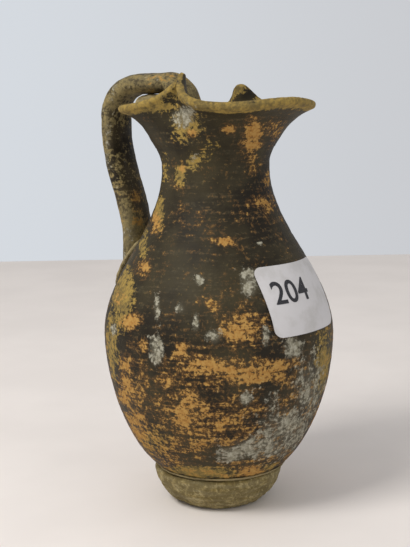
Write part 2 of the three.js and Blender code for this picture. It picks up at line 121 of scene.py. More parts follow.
@dataclass(frozen=True)
class PhotoCamera:
    """The photograph's camera, fitted to the jug's joints and outline. Angles are in degrees."""

    width: float = 410.0
    height: float = 547.0
    focal: float = 1100.0
    azimuth: float = 30.0
    distance: float = 377.3
    eye_height: float = 142.04
    pitch: float = 9.293
    yaw: float = -0.663
    roll: float = -1.135
    film: float = 36.0
    clip_near: float = 0.01
    clip_far: float = 20.0

    def turned(self, right: float, away: float, up: float) -> Vector:
        """A vector given to the right, away from the eye and up, in the jug's frame."""
        return Matrix.Rotation(math.radians(self.azimuth), 3, "Z") @ Vector((right, away, up))

    def position(self) -> Vector:
        """The eye's place, in metres."""
        return self.turned(0, -self.distance, self.eye_height) * MM

    def axes(self) -> tuple[Vector, Vector, Vector]:
        """The camera's directions.

        Returns:
            Unit vectors to its right, upwards and forwards.
        """
        pitch, yaw, roll = (math.radians(a) for a in (self.pitch, self.yaw, self.roll))
        right = self.turned(math.cos(yaw), -math.sin(yaw), 0)
        ahead = self.turned(math.sin(yaw), math.cos(yaw), 0)
        forward = ahead * math.cos(pitch) - Vector((0, 0, math.sin(pitch)))
        up = ahead * math.sin(pitch) + Vector((0, 0, math.cos(pitch)))
        rolled_right = right * math.cos(roll) + up * math.sin(roll)
        rolled_up = up * math.cos(roll) - right * math.sin(roll)
        return rolled_right, rolled_up, forward

    def pixels(self, points: np.ndarray) -> np.ndarray:
        """Where points lie in the photograph.

        Args:
            points: Points in metres, one row each.

        Returns:
            Their pixel coordinates, one row each.
        """
        right, up, forward = (np.array(axis) for axis in self.axes())
        offset = points - np.array(self.position())
        depth = offset @ forward
        x = self.width / 2 + self.focal * (offset @ right) / depth
        y = self.height / 2 - self.focal * (offset @ up) / depth
        return np.stack([x, y], axis=1)

    def facing(self, points: np.ndarray, normals: np.ndarray) -> np.ndarray:
        """How squarely points face the eye.

        Args:
            points: Points in metres, one row each.
            normals: Their outward directions.

        Returns:
            The cosine for each point, negative where it faces away.
        """
        towards = np.array(self.position()) - points
        towards /= np.linalg.norm(towards, axis=1, keepdims=True)
        return np.sum(towards * normals, axis=1)

    def make(self) -> bpy.types.Object:
        """Makes the scene's camera.

        Returns:
            The camera object.
        """
        data = bpy.data.cameras.new("photo_camera")
        data.sensor_fit = "AUTO"
        data.sensor_width = self.film
        data.lens = self.film * self.focal / self.height
        data.clip_start = self.clip_near
        data.clip_end = self.clip_far
        camera = bpy.data.objects.new("photo_camera", data)
        right, up, forward = self.axes()
        rotation = Matrix((right, up, -forward)).transposed().to_4x4()
        camera.matrix_world = Matrix.Translation(self.position()) @ rotation
        bpy.context.scene.collection.objects.link(camera)
        bpy.context.scene.camera = camera
        return camera


CAMERA = PhotoCamera()


@dataclass(frozen=True)
class Texture:
    """Shader noise: the size of its lumps in millimetres, its detail and its roughness."""

    size: float
    detail: float
    roughness: float


@dataclass(frozen=True)
class Unevenness:
    """Fractal unevenness of a clay surface. Waves are per millimetre."""

    waves: float
    octaves: int
    fineness: float = 0.8
    lacunarity: float = 2.1

    def at(self, point: Vector) -> float:
        """The unevenness at a point in millimetres, around 0."""
        return noise.fractal(point * self.waves, self.fineness, self.lacunarity, self.octaves)


DENTS = Unevenness(0.16, 4)
CRUMBS = Unevenness(0.22, 5, 0.7, 2.2)
BEAD_WOBBLE = Unevenness(0.3, 3)
CHIPS = Unevenness(0.35, 4)
STRAP_WOBBLE = Unevenness(0.11, 4)
FINGER_MARKS = Unevenness(0.16, 5)


class Value:
    """A node's output. Arithmetic on it adds Math nodes."""

    def __init__(self, graph: "NodeGraph", socket: bpy.types.NodeSocket) -> None:
        """Wraps a socket of a graph."""
        self.graph = graph
        self.socket = socket

    def _math(self, operation: str, first: object, second: object) -> "Value":
        """A Math node of two inputs."""
        return self.graph.node("ShaderNodeMath", {"operation": operation}, {0: first, 1: second})

    def __add__(self, other: object) -> "Value":
        """This value plus another."""
        return self._math("ADD", self, other)

    __radd__ = __add__

    def __mul__(self, other: object) -> "Value":
        """This value times another."""
        return self._math("MULTIPLY", self, other)

    __rmul__ = __mul__

    def __sub__(self, other: object) -> "Value":
        """This value less another."""
        return self._math("SUBTRACT", self, other)

    def __rsub__(self, other: object) -> "Value":
        """Another value less this one."""
        return self._math("SUBTRACT", other, self)

    def step(self, low: float, high: float) -> "Value":
        """A smooth step from 0 at low to 1 at high."""
        ends = {"Value": self, "From Min": low, "From Max": high}
        return self.graph.node("ShaderNodeMapRange", {"interpolation_type": "SMOOTHSTEP"}, ends)

    def output(self, index: int) -> "Value":
        """Another output of the same node."""
        return Value(self.graph, self.socket.node.outputs[index])


class NodeGraph:
    """A node tree that is written as expressions."""

    def __init__(self, owner: bpy.types.Material | bpy.types.World) -> None:
        """Empties the owner's node tree and takes it over."""
        owner.use_nodes = True
        self.tree = owner.node_tree
        self.tree.nodes.clear()

    def node(self, kind: str, settings: dict, inputs: dict, output: int = 0) -> Value:
        """Adds a node.

        Args:
            kind: The node's type.
            settings: Its own settings, set before its sockets.
            inputs: A value or a link for each named or numbered socket.
            output: Which output is wanted.

        Returns:
            That output, for more arithmetic.
        """
        made = self.tree.nodes.new(kind)
        for name, setting in settings.items():
            setattr(made, name, setting)
        for key, value in inputs.items():
            if isinstance(value, Value):
                self.tree.links.new(value.socket, made.inputs[key])
            else:
                made.inputs[key].default_value = value
        return Value(self, made.outputs[output]) if made.outputs else None

    def mix(self, factor: object, low: object, high: object) -> Value:
        """A blend of two colours, on the Mix node's numbered sockets for colours."""
        return self.node("ShaderNodeMix", {"data_type": "RGBA"}, {0: factor, 6: low, 7: high}, 2)

    def stretched(self, scale: Triple) -> Value:
        """The piece's own coordinates in millimetres, scaled on each axis."""
        place = self.node("ShaderNodeTexCoord", {}, {}, OBJECT_COORDINATES)
        factors = tuple(part / MM for part in scale)
        return self.node("ShaderNodeVectorMath", {"operation": "MULTIPLY"}, {0: place, 1: factors})

    def noise(self, place: Value, texture: Texture) -> Value:
        """Noise over the given coordinates."""
        inputs = {
            "Vector": place, "Scale": 1 / texture.size, "Detail": texture.detail,
            "Roughness": texture.roughness,
        }
        return self.node("ShaderNodeTexNoise", {}, inputs)

    def surface(self, colour: Value, roughness: Value, relief: Value, gloss: float) -> None:
        """Ends the tree in one shader.

        Args:
            colour: Base colour.
            roughness: Roughness.
            relief: Height of the fine relief, in millimetres.
            gloss: Specular level.
        """
        bump = self.node("ShaderNodeBump", {}, {"Strength": 1.0, "Distance": MM, "Height": relief})
        inputs = {
            "Base Color": colour, "Roughness": roughness, "Normal": bump,
            "Specular IOR Level": gloss,
        }
        shader = self.node("ShaderNodeBsdfPrincipled", {}, inputs)
        self.node("ShaderNodeOutputMaterial", {}, {0: shader})


def weighed(values: tuple[Value, ...], weights: tuple[float, ...]) -> Value:
    """Adds shader values up, each times its weight.

    Args:
        values: The values.
        weights: A weight for each value.

    Returns:
        Their weighed sum.
    """
    total = values[0] * weights[0]
    for value, weight in zip(values[1:], weights[1:]):
        total = total + value * weight
    return total


@dataclass(frozen=True)
class WornGloss:
    """Dark slip gloss, brushed on the wheel, flaked to orange clay and crusted with lime.

    A layer fades in between the two noise levels of its edge and hides its cover's share of what
    lies under it. A gain is how far a wear level of 1 shifts the noise. The other groups of
    numbers are weights of the noises.
    """

    name: str = "worn_gloss"
    black: Colour = (0.014, 0.011, 0.007, 1)
    brown: Colour = (0.042, 0.034, 0.017, 1)
    haze: Colour = (0.105, 0.090, 0.052, 1)
    rust: Colour = (0.135, 0.070, 0.024, 1)
    clay: Colour = (0.34, 0.165, 0.040, 1)
    pale_clay: Colour = (0.44, 0.265, 0.080, 1)
    lime: Colour = (0.215, 0.198, 0.140, 1)
    pale_lime: Colour = (0.43, 0.415, 0.335, 1)
    tan: Colour = (0.37, 0.255, 0.065, 1)
    dull_tan: Colour = (0.155, 0.115, 0.043, 1)
    wheel_stretch: Triple = (0.16, 0.16, 1.5)
    crust_stretch: Triple = (1.02, 0.98, 0.9)
    cloud: Texture = Texture(24, 4, 0.6)
    lump: Texture = Texture(5.0, 7, 0.66)
    fleck: Texture = Texture(1.2, 6, 0.7)
    streak: Texture = Texture(2.0, 7, 0.68)
    crust: Texture = Texture(3.6, 8, 0.72)
    grain: Texture = Texture(0.35, 3, 0.6)
    flaking: Triple = (0.32, 0.40, 0.28)
    thinning: Triple = (0.30, 0.42, 0.28)
    crusting: Triple = (0.58, 0.30, 0.12)
    filming: Pair = (0.9, 0.6)
    rubbing: Pair = (0.5, 0.5)
    clay_gain: float = 0.165
    lime_gain: float = 0.23
    tan_gain: float = 0.27
    clay_edge: Pair = (0.592, 0.618)
    rust_edge: Pair = (0.530, 0.600)
    lime_edge: Pair = (0.635, 0.705)
    film_edge: Pair = (0.70, 1.25)
    tan_edge: Pair = (0.635, 0.70)
    cloud_edge: Pair = (0.36, 0.64)
    scuff_edge: Pair = (0.48, 0.66)
    scuff_break: Pair = (0.42, 0.60)
    fleck_edge: Pair = (0.60, 0.68)
    rubbed_edge: Pair = (0.40, 0.60)
    pale_clay_edge: Pair = (0.36, 0.66)
    pale_lime_edge: Pair = (0.38, 0.66)
    haze_cover: float = 0.5
    rust_cover: float = 0.7
    fleck_cover: float = 0.5
    tan_cover: float = 0.92
    clay_cover: float = 0.94
    film_cover: float = 0.6
    lime_cover: float = 0.9
    roughness: float = 0.46
    roughening: tuple[float, ...] = (0.20, 0.26, 0.30, 0.18)
    relief: tuple[float, ...] = (0.15, -0.09, -0.03, 0.14, 0.09, 0.03)
    sheen: float = 0.15

    def make(self) -> bpy.types.Material:
        """Builds the material.

        Returns:
            A material that reads the piece's wear attribute.
        """
        material = bpy.data.materials.new(self.name)
        graph = NodeGraph(material)
        place = graph.stretched(EVEN)
        cloud = graph.noise(place, self.cloud)
        lump = graph.noise(place, self.lump)
        fleck = graph.noise(place, self.fleck)
        streak = graph.noise(graph.stretched(self.wheel_stretch), self.streak)
        crust = graph.noise(graph.stretched(self.crust_stretch), self.crust)
        grain = graph.noise(place, self.grain)

        attribute = graph.node("ShaderNodeAttribute", {"attribute_name": WEAR_ATTRIBUTE}, {})
        clay_level = graph.node("ShaderNodeSeparateColor", {}, {0: attribute})
        lime_level = clay_level.output(Wear.LIME.value)
        tan_level = clay_level.output(Wear.TAN.value)

        bared = weighed((lump, fleck, streak), self.flaking) + clay_level * self.clay_gain
        clay = bared.step(*self.clay_edge)
        rusted = bared.step(*self.rust_edge)
        crusted = weighed((crust, fleck, streak), self.crusting) + lime_level * self.lime_gain
        lime = crusted.step(*self.lime_edge)
        film = weighed((lime_level, crust), self.filming).step(*self.film_edge)
        thinned = weighed((lump, fleck, streak), self.thinning) + tan_level * self.tan_gain
        tan = thinned.step(*self.tan_edge)
        scuffs = streak.step(*self.scuff_edge) * fleck.step(*self.scuff_break)
        rubbed = weighed((lump, fleck), self.rubbing).step(*self.rubbed_edge)

        gloss = graph.mix(cloud.step(*self.cloud_edge), self.black, self.brown)
        gloss = graph.mix(scuffs * self.haze_cover, gloss, self.haze)
        gloss = graph.mix(rusted * self.rust_cover, gloss, self.rust)
        gloss = graph.mix(fleck.step(*self.fleck_edge) * self.fleck_cover, gloss, self.dull_tan)
        worn_tan = graph.mix(rubbed, self.dull_tan, self.tan)
        bare = graph.mix(fleck.step(*self.pale_clay_edge), self.clay, self.pale_clay)
        white = graph.mix(fleck.step(*self.pale_lime_edge), self.lime, self.pale_lime)
        colour = graph.mix(tan * self.tan_cover, gloss, worn_tan)
        colour = graph.mix(clay * self.clay_cover, colour, bare)
        colour = graph.mix(film * self.film_cover, colour, self.lime)
        colour = graph.mix(lime * self.lime_cover, colour, white)

        roughness = self.roughness + weighed((fleck, clay, lime, tan), self.roughening)
        relief = weighed((lime, clay, tan, fleck, streak, grain), self.relief)
        graph.surface(colour, roughness, relief, self.sheen)
        return material


@dataclass(frozen=True)
class RawClay:
    """Bare clay, stained and rough, with paler crumbs where it has chipped."""

    name: str
    body: Colour
    stain: Colour
    pale: Colour
    stain_start: float
    stain_width: float = 0.16
    wheel_stretch: Triple = (0.2, 0.2, 1.3)
    lump: Texture = Texture(5.5, 7, 0.68)
    crumb: Texture = Texture(1.1, 6, 0.72)
    streak: Texture = Texture(1.6, 5, 0.65)
    staining: Pair = (0.5, 0.5)
    streak_edge: Pair = (0.35, 0.7)
    crumb_edge: Pair = (0.57, 0.68)
    stain_cover: float = 0.7
    crumb_cover: float = 0.75
    roughness: float = 0.78
    roughening: float = 0.2
    relief: Triple = (0.35, 0.30, 0.08)
    sheen: float = 0.25

    def make(self) -> bpy.types.Material:
        """Builds the material.

        Returns:
            A material that reads the piece's own coordinates.
        """
        material = bpy.data.materials.new(self.name)
        graph = NodeGraph(material)
        place = graph.stretched(EVEN)
        lump = graph.noise(place, self.lump)
        crumb = graph.noise(place, self.crumb)
        streak = graph.noise(graph.stretched(self.wheel_stretch), self.streak)
        clean = weighed((lump, crumb), self.staining)
        stained = 1 - clean.step(self.stain_start, self.stain_start + self.stain_width)
        colour = graph.mix(streak.step(*self.streak_edge), self.body, self.pale)
        colour = graph.mix(stained * self.stain_cover, colour, self.stain)
        colour = graph.mix(crumb.step(*self.crumb_edge) * self.crumb_cover, colour, self.pale)
        relief = weighed((lump, crumb, streak), self.relief)
        graph.surface(colour, self.roughness + crumb * self.roughening, relief, self.sheen)
        return material


@dataclass(frozen=True)
class LabelPaper:
    """Matt white paper, faintly soiled."""

    name: str = "label_paper"
    white: Colour = (0.58, 0.57, 0.585, 1)
    soiled: Colour = (0.50, 0.49, 0.49, 1)
    soil: Texture = Texture(7, 5, 0.6)
    fibre: Texture = Texture(0.5, 4, 0.6)
    fibre_stretch: Triple = (1.0, 1.0, 3.0)
    soil_edge: Pair = (0.42, 0.7)
    roughness: float = 0.55
    roughening: float = 0.15
    relief: Pair = (0.02, 0.12)
    sheen: float = 0.4

    def make(self) -> bpy.types.Material:
        """Builds the material.

        Returns:
            The paper.
        """
        material = bpy.data.materials.new(self.name)
        graph = NodeGraph(material)
        soil = graph.noise(graph.stretched(EVEN), self.soil)
        fibre = graph.noise(graph.stretched(self.fibre_stretch), self.fibre)
        colour = graph.mix(soil.step(*self.soil_edge), self.white, self.soiled)
        relief = weighed((fibre, soil), self.relief)
        graph.surface(colour, self.roughness + fibre * self.roughening, relief, self.sheen)
        return material


@dataclass(frozen=True)
class LabelInk:
    """Black printer's ink with a slightly uneven edge of tone."""

    name: str = "label_ink"
    black: Colour = (0.012, 0.012, 0.016, 1)
    grey: Colour = (0.05, 0.05, 0.06, 1)
    toner: Texture = Texture(0.3, 3, 0.6)
    toner_edge: Pair = (0.4, 0.75)
    roughness: float = 0.45
    roughening: float = 0.2
    relief: float = 0.01
    sheen: float = 0.4

    def make(self) -> bpy.types.Material:
        """Builds the material.

        Returns:
            The ink.
        """
        material = bpy.data.materials.new(self.name)
        graph = NodeGraph(material)
        toner = graph.noise(graph.stretched(EVEN), self.toner)
        colour = graph.mix(toner.step(*self.toner_edge), self.black, self.grey)
        roughness = self.roughness + toner * self.roughening
        graph.surface(colour, roughness, toner * self.relief, self.sheen)
        return material


WALL_GLOSS = WornGloss()
HANDLE_GLOSS = WornGloss(
    name="handle_gloss",
    brown=(0.065, 0.050, 0.026, 1),
    tan=(0.27, 0.215, 0.095, 1),
    dull_tan=(0.125, 0.102, 0.055, 1),
)
FOOT_CLAY = RawClay(
    name="foot_clay",
    body=(0.26, 0.195, 0.068, 1),
    stain=(0.085, 0.066, 0.028, 1),
    pale=(0.42, 0.355, 0.19, 1),
    stain_start=0.45,
)
SLIP_CLAY = RawClay(
    name="slip_clay",
    body=(0.23, 0.18, 0.085, 1),
    stain=(0.09, 0.07, 0.038, 1),
    pale=(0.34, 0.28, 0.15, 1),
    stain_start=0.36,
)


@dataclass(frozen=True)
class Outline:
    """Outline of the thrown wall from the foot to the mouth joint, in millimetres."""

    belly_radius: float
    foot_height: float
    neck_joint: float
    mouth_joint: float
    base_radius: float = 20.9
    base_flare: float = 9.2
    base_flare_rise: float = 5.3
    belly_rise: float = 47.5
    belly_roundness: float = 21.2
    waist_radius: float = 18.6
    waist_rise: float = 57.1
    waist_roundness: float = 20.5
    flare_slope: float = 0.55
    waist_pull: float = 0.7
    belly_wall: float = 4.0
    neck_wall: float = 3.4
    slope_reach: float = 0.2

    @lru_cache(maxsize=None)
    def _samples(self) -> tuple[np.ndarray, np.ndarray]:
        """Heights and radii along the outline."""
        widest = self.foot_height + self.belly_rise
        waist = widest + self.waist_rise
        half_flare = (self.mouth_joint - waist) / 2
        base = (self.base_radius, self.foot_height)
        flare = (self.base_radius + self.base_flare, self.foot_height + self.base_flare_rise)
        lip = (self.waist_radius + self.flare_slope * half_flare, self.mouth_joint)
        curves = [
            [base, flare, (self.belly_radius, widest - self.belly_roundness),
             (self.belly_radius, widest)],
            [(self.belly_radius, widest), (self.belly_radius, widest + self.belly_roundness),
             (self.waist_radius, waist - self.waist_roundness), (self.waist_radius, waist)],
            [(self.waist_radius, waist), (self.waist_radius, waist + half_flare * self.waist_pull),
             (self.waist_radius, waist + half_flare), lip],
        ]
        points = np.concatenate([bezier(np.array(curve), CURVE_STEPS) for curve in curves])
        return points[:, 1], points[:, 0]

    def radius(self, height: float) -> float:
        """Radius of the outside at a height."""
        heights, radii = self._samples()
        return float(np.interp(height, heights, radii))

    def slope(self, height: float) -> float:
        """Growth of the radius for each millimetre of height."""
        above, below = height + self.slope_reach, height - self.slope_reach
        return (self.radius(above) - self.radius(below)) / (above - below)

    def inside(self, height: float) -> float:
        """Radius of the inside at a height."""
        share = min(max((height - self.belly_rise) / self.waist_rise, 0), 1)
        wall = self.belly_wall + (self.neck_wall - self.belly_wall) * share
        return self.radius(height) - wall * math.hypot(1, self.slope(height))

    def pressed(self, point: Vector) -> Vector:
        """Keeps a point of pressed-on clay from going deeper into the wall than it would."""
        reach = math.hypot(point.x, point.y)
        least = self.radius(point.z) - PRESSED_SINK
        if point.z > self.mouth_joint or reach >= least or reach == 0:
            return point
        return Vector((point.x * least / reach, point.y * least / reach, point.z))


def on_curve(corners: np.ndarray, share: float | np.ndarray) -> np.ndarray:
    """The point of a cubic curve at a share of it, or a row for each of a column of shares."""
    rest = 1 - share
    weights = (rest**3, 3 * rest**2 * share, 3 * rest * share**2, share**3)
    return sum(weight * corner for weight, corner in zip(weights, corners))


def bezier(corners: np.ndarray, steps: int) -> np.ndarray:
    """Points on a cubic curve.

    Args:
        corners: Its four corners, one row each.
        steps: How many stretches it is cut into.

    Returns:
        The points, one row each, both ends included.
    """
    return on_curve(corners, np.linspace(0, 1, steps + 1)[:, None])


@dataclass(frozen=True)
class ThrowingMarks:
    """The wall's hand-thrown unevenness. Depths are in millimetres, waves per millimetre."""

    swell_waves: float = 0.035
    swell_depth: float = 0.20
    ring_turns: float = 2.1
    ring_drift: float = 2.5
    drift_waves: float = 0.05
    fade_waves: Triple = (0.04, 0.04, 0.12)
    ring_depth: float = 0.05
    dent_depth: float = 0.09

    def relief(self, point: Vector) -> float:
        """Height of the wall's skin at a point, hardly ever proud of the outline."""
        swell = noise.noise(point * self.swell_waves) - 1
        drift = self.ring_drift * noise.noise(point * self.drift_waves)
        fade = 0.5 + 0.5 * noise.noise(point * Vector(self.fade_waves))
        ring = math.sin(point.z * self.ring_turns + drift) * fade
        return self.swell_depth * swell + self.ring_depth * ring + self.dent_depth * DENTS.at(point)


MARKS = ThrowingMarks()


def push_out(vert: bmesh.types.BMVert, change: float) -> None:
    """Moves a vertex away from the wheel's axis, in millimetres."""
    reach = math.hypot(vert.co.x, vert.co.y)
    vert.co.x *= 1 + change / reach
    vert.co.y *= 1 + change / reach


def groove(height: float, joint: float, depth: float, half_width: float) -> float:
    """Depth of a wiped joint line at a height, all in millimetres."""
    return depth * math.exp(-(((height - joint) / half_width) ** 2))


def spun(profile: list[tuple[float, float]], steps: int, closed: bool) -> bmesh.types.BMesh:
    """Turns a profile on the wheel.

    Args:
        profile: Radius and height of each point, in millimetres.
        steps: Steps of the full turn.
        closed: Whether the last point joins the first one.

    Returns:
        The turned body, in millimetres.
    """
    body = bmesh.new()
    points = [body.verts.new((radius, 0, height)) for radius, height in profile]
    lines = [body.edges.new(pair) for pair in zip(points, points[1:])]
    if closed:
        lines.append(body.edges.new((points[-1], points[0])))
    bmesh.ops.spin(
        body, geom=points + lines, cent=(0, 0, 0), axis=(0, 0, 1), angle=math.tau,
        steps=steps, use_merge=True,
    )
    bmesh.ops.remove_doubles(body, verts=body.verts, dist=MERGE_DISTANCE)
    bmesh.ops.recalc_face_normals(body, faces=body.faces)
    return body


def levels(start: float, end: float, steps: int) -> list[float]:
    """Even steps from start to end, both included."""
    return [start + (end - start) * i / steps for i in range(steps + 1)]


class Piece:
    """A finished piece of the jug: a mesh in the jug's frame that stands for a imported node."""

    def __init__(self, name: str, body: bmesh.types.BMesh, material: bpy.types.Material) -> None:
        """Turns a body in millimetres into a smooth object in metres."""
        bmesh.ops.scale(body, vec=(MM, MM, MM), verts=body.verts)
        if body.calc_volume(signed=True) < 0:
            bmesh.ops.reverse_faces(body, faces=body.faces)
        mesh = bpy.data.meshes.new(name)
        body.to_mesh(mesh)
        body.free()
        mesh.shade_smooth()
        mesh.set_sharp_from_angle(angle=SHARP_EDGE)
        mesh.materials.append(material)
        self.mesh = mesh
        self.obj = bpy.data.objects.new(name, mesh)
        bpy.context.scene.collection.objects.link(self.obj)

    def points(self) -> np.ndarray:
        """The mesh's points in metres, one row each."""
        flat = np.empty(len(self.mesh.vertices) * 3)
        self.mesh.vertices.foreach_get("co", flat)
        return flat.reshape(-1, 3)

    def normals(self) -> np.ndarray:
        """The outward direction at each point."""
        flat = np.empty(len(self.mesh.vertices) * 3)
        self.mesh.vertex_normals.foreach_get("vector", flat)
        return flat.reshape(-1, 3)

    def turned_away(self, start: float) -> np.ndarray:
        """How far each point is turned from the camera, from start where it is edge-on to 1."""
        return np.clip(start - CAMERA.facing(self.points(), self.normals()) * TURNED_GAIN, 0, 1)

    def paint(self, base: np.ndarray, patches: list[Patch]) -> None:
        """Writes the wear attribute.

        Args:
            base: Starting levels of clay, lime and tan for each point.
            patches: Listed patches, for the points that face the camera.
        """
        points = self.points()
        facing = CAMERA.facing(points, self.normals())
        seen = np.clip(facing * EDGE_ON_GAIN, 0, 1)
        worn = base.copy()
        pixels = CAMERA.pixels(points)
        for patch in patches:
            channel = patch.wear.value
            worn[:, channel] = np.maximum(worn[:, channel], patch.level(pixels) * seen)
        attribute = self.mesh.color_attributes.new(WEAR_ATTRIBUTE, "FLOAT_COLOR", "POINT")
        rgba = np.ones((len(points), 4), np.float32)
        rgba[:, :3] = worn
        attribute.data.foreach_set("color", rgba.ravel())

    def settle(self, node: str, slot: str) -> None:
        """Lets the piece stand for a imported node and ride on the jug."""
        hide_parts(node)
        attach(self.obj, "root")
        LOG.info("%s: %d faces", self.obj.name, len(self.mesh.polygons))


@dataclass(frozen=True)
class GroundWear:
    """Wear of one kind that lies all over a glossed wall. Waves are per millimetre."""

    waves: float
    offset: Triple
    everywhere: float
    low: float
    turned: float
    clouded: float

    def level(self, spot: Vector, low: float, turned: float) -> float:
        """The level at a spot in millimetres that is so low and so far turned away."""
        cloud = noise.noise(spot * self.waves + Vector(self.offset))
        return self.everywhere + self.low * low + turned * (self.turned + self.clouded * cloud)


GROUND_WEAR = {
    Wear.CLAY: GroundWear(0.045, (3.1, 0, 0), 0.04, 0.40, 0.12, 0.9),
    Wear.LIME: GroundWear(0.038, (0, 7.7, 0), 0.03, 0.12, 0.10, 0.95),
    Wear.TAN: GroundWear(0.05, (0, 0, 5.3), 0.12, 0.25, 0.1, 0.6),
}
LOW_WEAR_HEIGHTS: Pair = (38.0, 80.0)


def ground_wear(points: np.ndarray, turned_away: np.ndarray) -> np.ndarray:
    """Wear levels of a glossed wall before the listed patches.

    Args:
        points: Points in metres, one row each.
        turned_away: From 0 on the side in the photograph to 1 on the far side.

    Returns:
        Levels of clay, lime and tan, one row each.
    """
    found = np.zeros((len(points), len(Wear)))
    full, none = LOW_WEAR_HEIGHTS
    for i, point in enumerate(points):
        spot = Vector(point) / MM
        low = 1 - min(max((spot.z - full) / (none - full), 0), 1)
        for wear, ground in GROUND_WEAR.items():
            found[i, wear.value] = ground.level(spot, low, turned_away[i])
    return np.clip(found, 0, 1)


BELLY_PATCHES = [
    Patch(Wear.CLAY, 224, 240, 8, 4.5, 1.0),
    Patch(Wear.LIME, 259, 242, 3.5, 2.5, 0.9),
    Patch(Wear.TAN, 143, 240, 5, 20, 0.9),
    Patch(Wear.CLAY, 143, 268, 7, 7, 0.95),
    Patch(Wear.TAN, 122, 296, 12, 34, 1.0),
    Patch(Wear.TAN, 112, 350, 9, 50, 0.8),
    Patch(Wear.CLAY, 118, 300, 6, 14, 0.6),
    Patch(Wear.LIME, 199, 280, 5, 7, 0.95),
    Patch(Wear.LIME, 250, 283, 12, 17, 0.95),
    Patch(Wear.CLAY, 131, 321, 11, 8, 0.95),
    Patch(Wear.LIME, 114, 330, 4, 8, 0.8),
    Patch(Wear.LIME, 157, 308, 4, 15, 0.85),
    Patch(Wear.LIME, 156, 351, 8, 16, 0.95),
    Patch(Wear.LIME, 180, 308, 6, 7, 0.8),
    Patch(Wear.LIME, 196, 322, 4, 12, 0.9),
    Patch(Wear.LIME, 215, 337, 11, 9, 0.85),
    Patch(Wear.CLAY, 213, 308, 7, 5, 0.7),
    Patch(Wear.CLAY, 243, 331, 20, 17, 0.85),
    Patch(Wear.LIME, 266, 336, 5, 14, 0.85),
    Patch(Wear.LIME, 293, 347, 12, 14, 0.9),
    Patch(Wear.CLAY, 180, 352, 8, 8, 0.9),
    Patch(Wear.CLAY, 205, 368, 26, 10, 0.8),
    Patch(Wear.CLAY, 252, 374, 50, 10, 0.85),
    Patch(Wear.CLAY, 280, 366, 22, 9, 0.75),
    Patch(Wear.CLAY, 143, 345, 6, 8, 0.6),
    Patch(Wear.CLAY, 126, 384, 9, 26, 0.85),
    Patch(Wear.CLAY, 150, 400, 26, 34, 0.55),
    Patch(Wear.CLAY, 185, 414, 44, 24, 0.68),
    Patch(Wear.CLAY, 135, 428, 16, 26, 0.75),
    Patch(Wear.TAN, 150, 440, 40, 26, 0.6),
    Patch(Wear.LIME, 246, 399, 8, 8, 0.9),
    Patch(Wear.LIME, 272, 404, 20, 20, 0.6),
    Patch(Wear.LIME, 310, 392, 20, 46, 0.82),
    Patch(Wear.LIME, 286, 430, 34, 30, 0.85),
    Patch(Wear.LIME, 262, 448, 40, 14, 0.9),
    Patch(Wear.LIME, 232, 454, 18, 9, 1.0),
    Patch(Wear.TAN, 324, 372, 12, 46, 0.85),
    Patch(Wear.CLAY, 252, 471, 16, 5, 0.95),
    Patch(Wear.TAN, 198, 473, 44, 9, 0.95),
    Patch(Wear.LIME, 215, 481, 60, 3, 0.6),
    Patch(Wear.TAN, 275, 470, 20, 10, 0.8),
]

NECK_PATCHES = [
    Patch(Wear.TAN, 193, 161, 9, 9, 0.85),
    Patch(Wear.LIME, 193, 158, 6, 6, 0.6),
    Patch(Wear.TAN, 181, 174, 6, 10, 0.95),
    Patch(Wear.CLAY, 182, 170, 4, 7, 0.6),
    Patch(Wear.CLAY, 252, 158, 6, 12, 0.7),
    Patch(Wear.CLAY, 268, 177, 4, 6, 0.7),
    Patch(Wear.CLAY, 264, 207, 20, 12, 0.5),
    Patch(Wear.CLAY, 190, 220, 24, 10, 0.38),
    Patch(Wear.TAN, 158, 212, 7, 22, 0.85),
    Patch(Wear.CLAY, 156, 222, 6, 12, 0.7),
    Patch(Wear.TAN, 165, 170, 5, 22, 0.6),
    Patch(Wear.TAN, 206, 155, 12, 10, 0.5),
    Patch(Wear.CLAY, 224, 240, 8, 4.5, 1.0),
    Patch(Wear.TAN, 143, 236, 6, 14, 0.9),
]

MOUTH_PATCHES = [
    Patch(Wear.CLAY, 253, 140, 8, 20, 1.0),
    Patch(Wear.CLAY, 231, 130, 8, 4, 0.9),
    Patch(Wear.LIME, 184, 116, 14, 13, 0.9),
    Patch(Wear.TAN, 186, 124, 18, 18, 0.8),
    Patch(Wear.CLAY, 191, 134, 6, 4, 0.8),
    Patch(Wear.TAN, 150, 106, 28, 7, 0.95),
    Patch(Wear.TAN, 176, 90, 9, 14, 0.8),
    Patch(Wear.TAN, 212, 145, 14, 8, 0.5),
    Patch(Wear.CLAY, 275, 126, 12, 10, 0.5),
    Patch(Wear.TAN, 240, 84, 8, 8, 0.8),
]

HANDLE_PATCHES = [
    Patch(Wear.TAN, 140, 82, 42, 14, 0.78),
    Patch(Wear.LIME, 112, 92, 14, 16, 0.55),
    Patch(Wear.LIME, 150, 78, 26, 6, 0.5),
    Patch(Wear.TAN, 106, 130, 8, 46, 0.85),
    Patch(Wear.LIME, 108, 150, 5, 40, 0.6),
    Patch(Wear.TAN, 122, 170, 8, 40, 0.6),
    Patch(Wear.TAN, 128, 232, 18, 36, 1.0),
    Patch(Wear.LIME, 128, 240, 9, 20, 0.6),
    Patch(Wear.CLAY, 136, 205, 8, 22, 0.55),
]


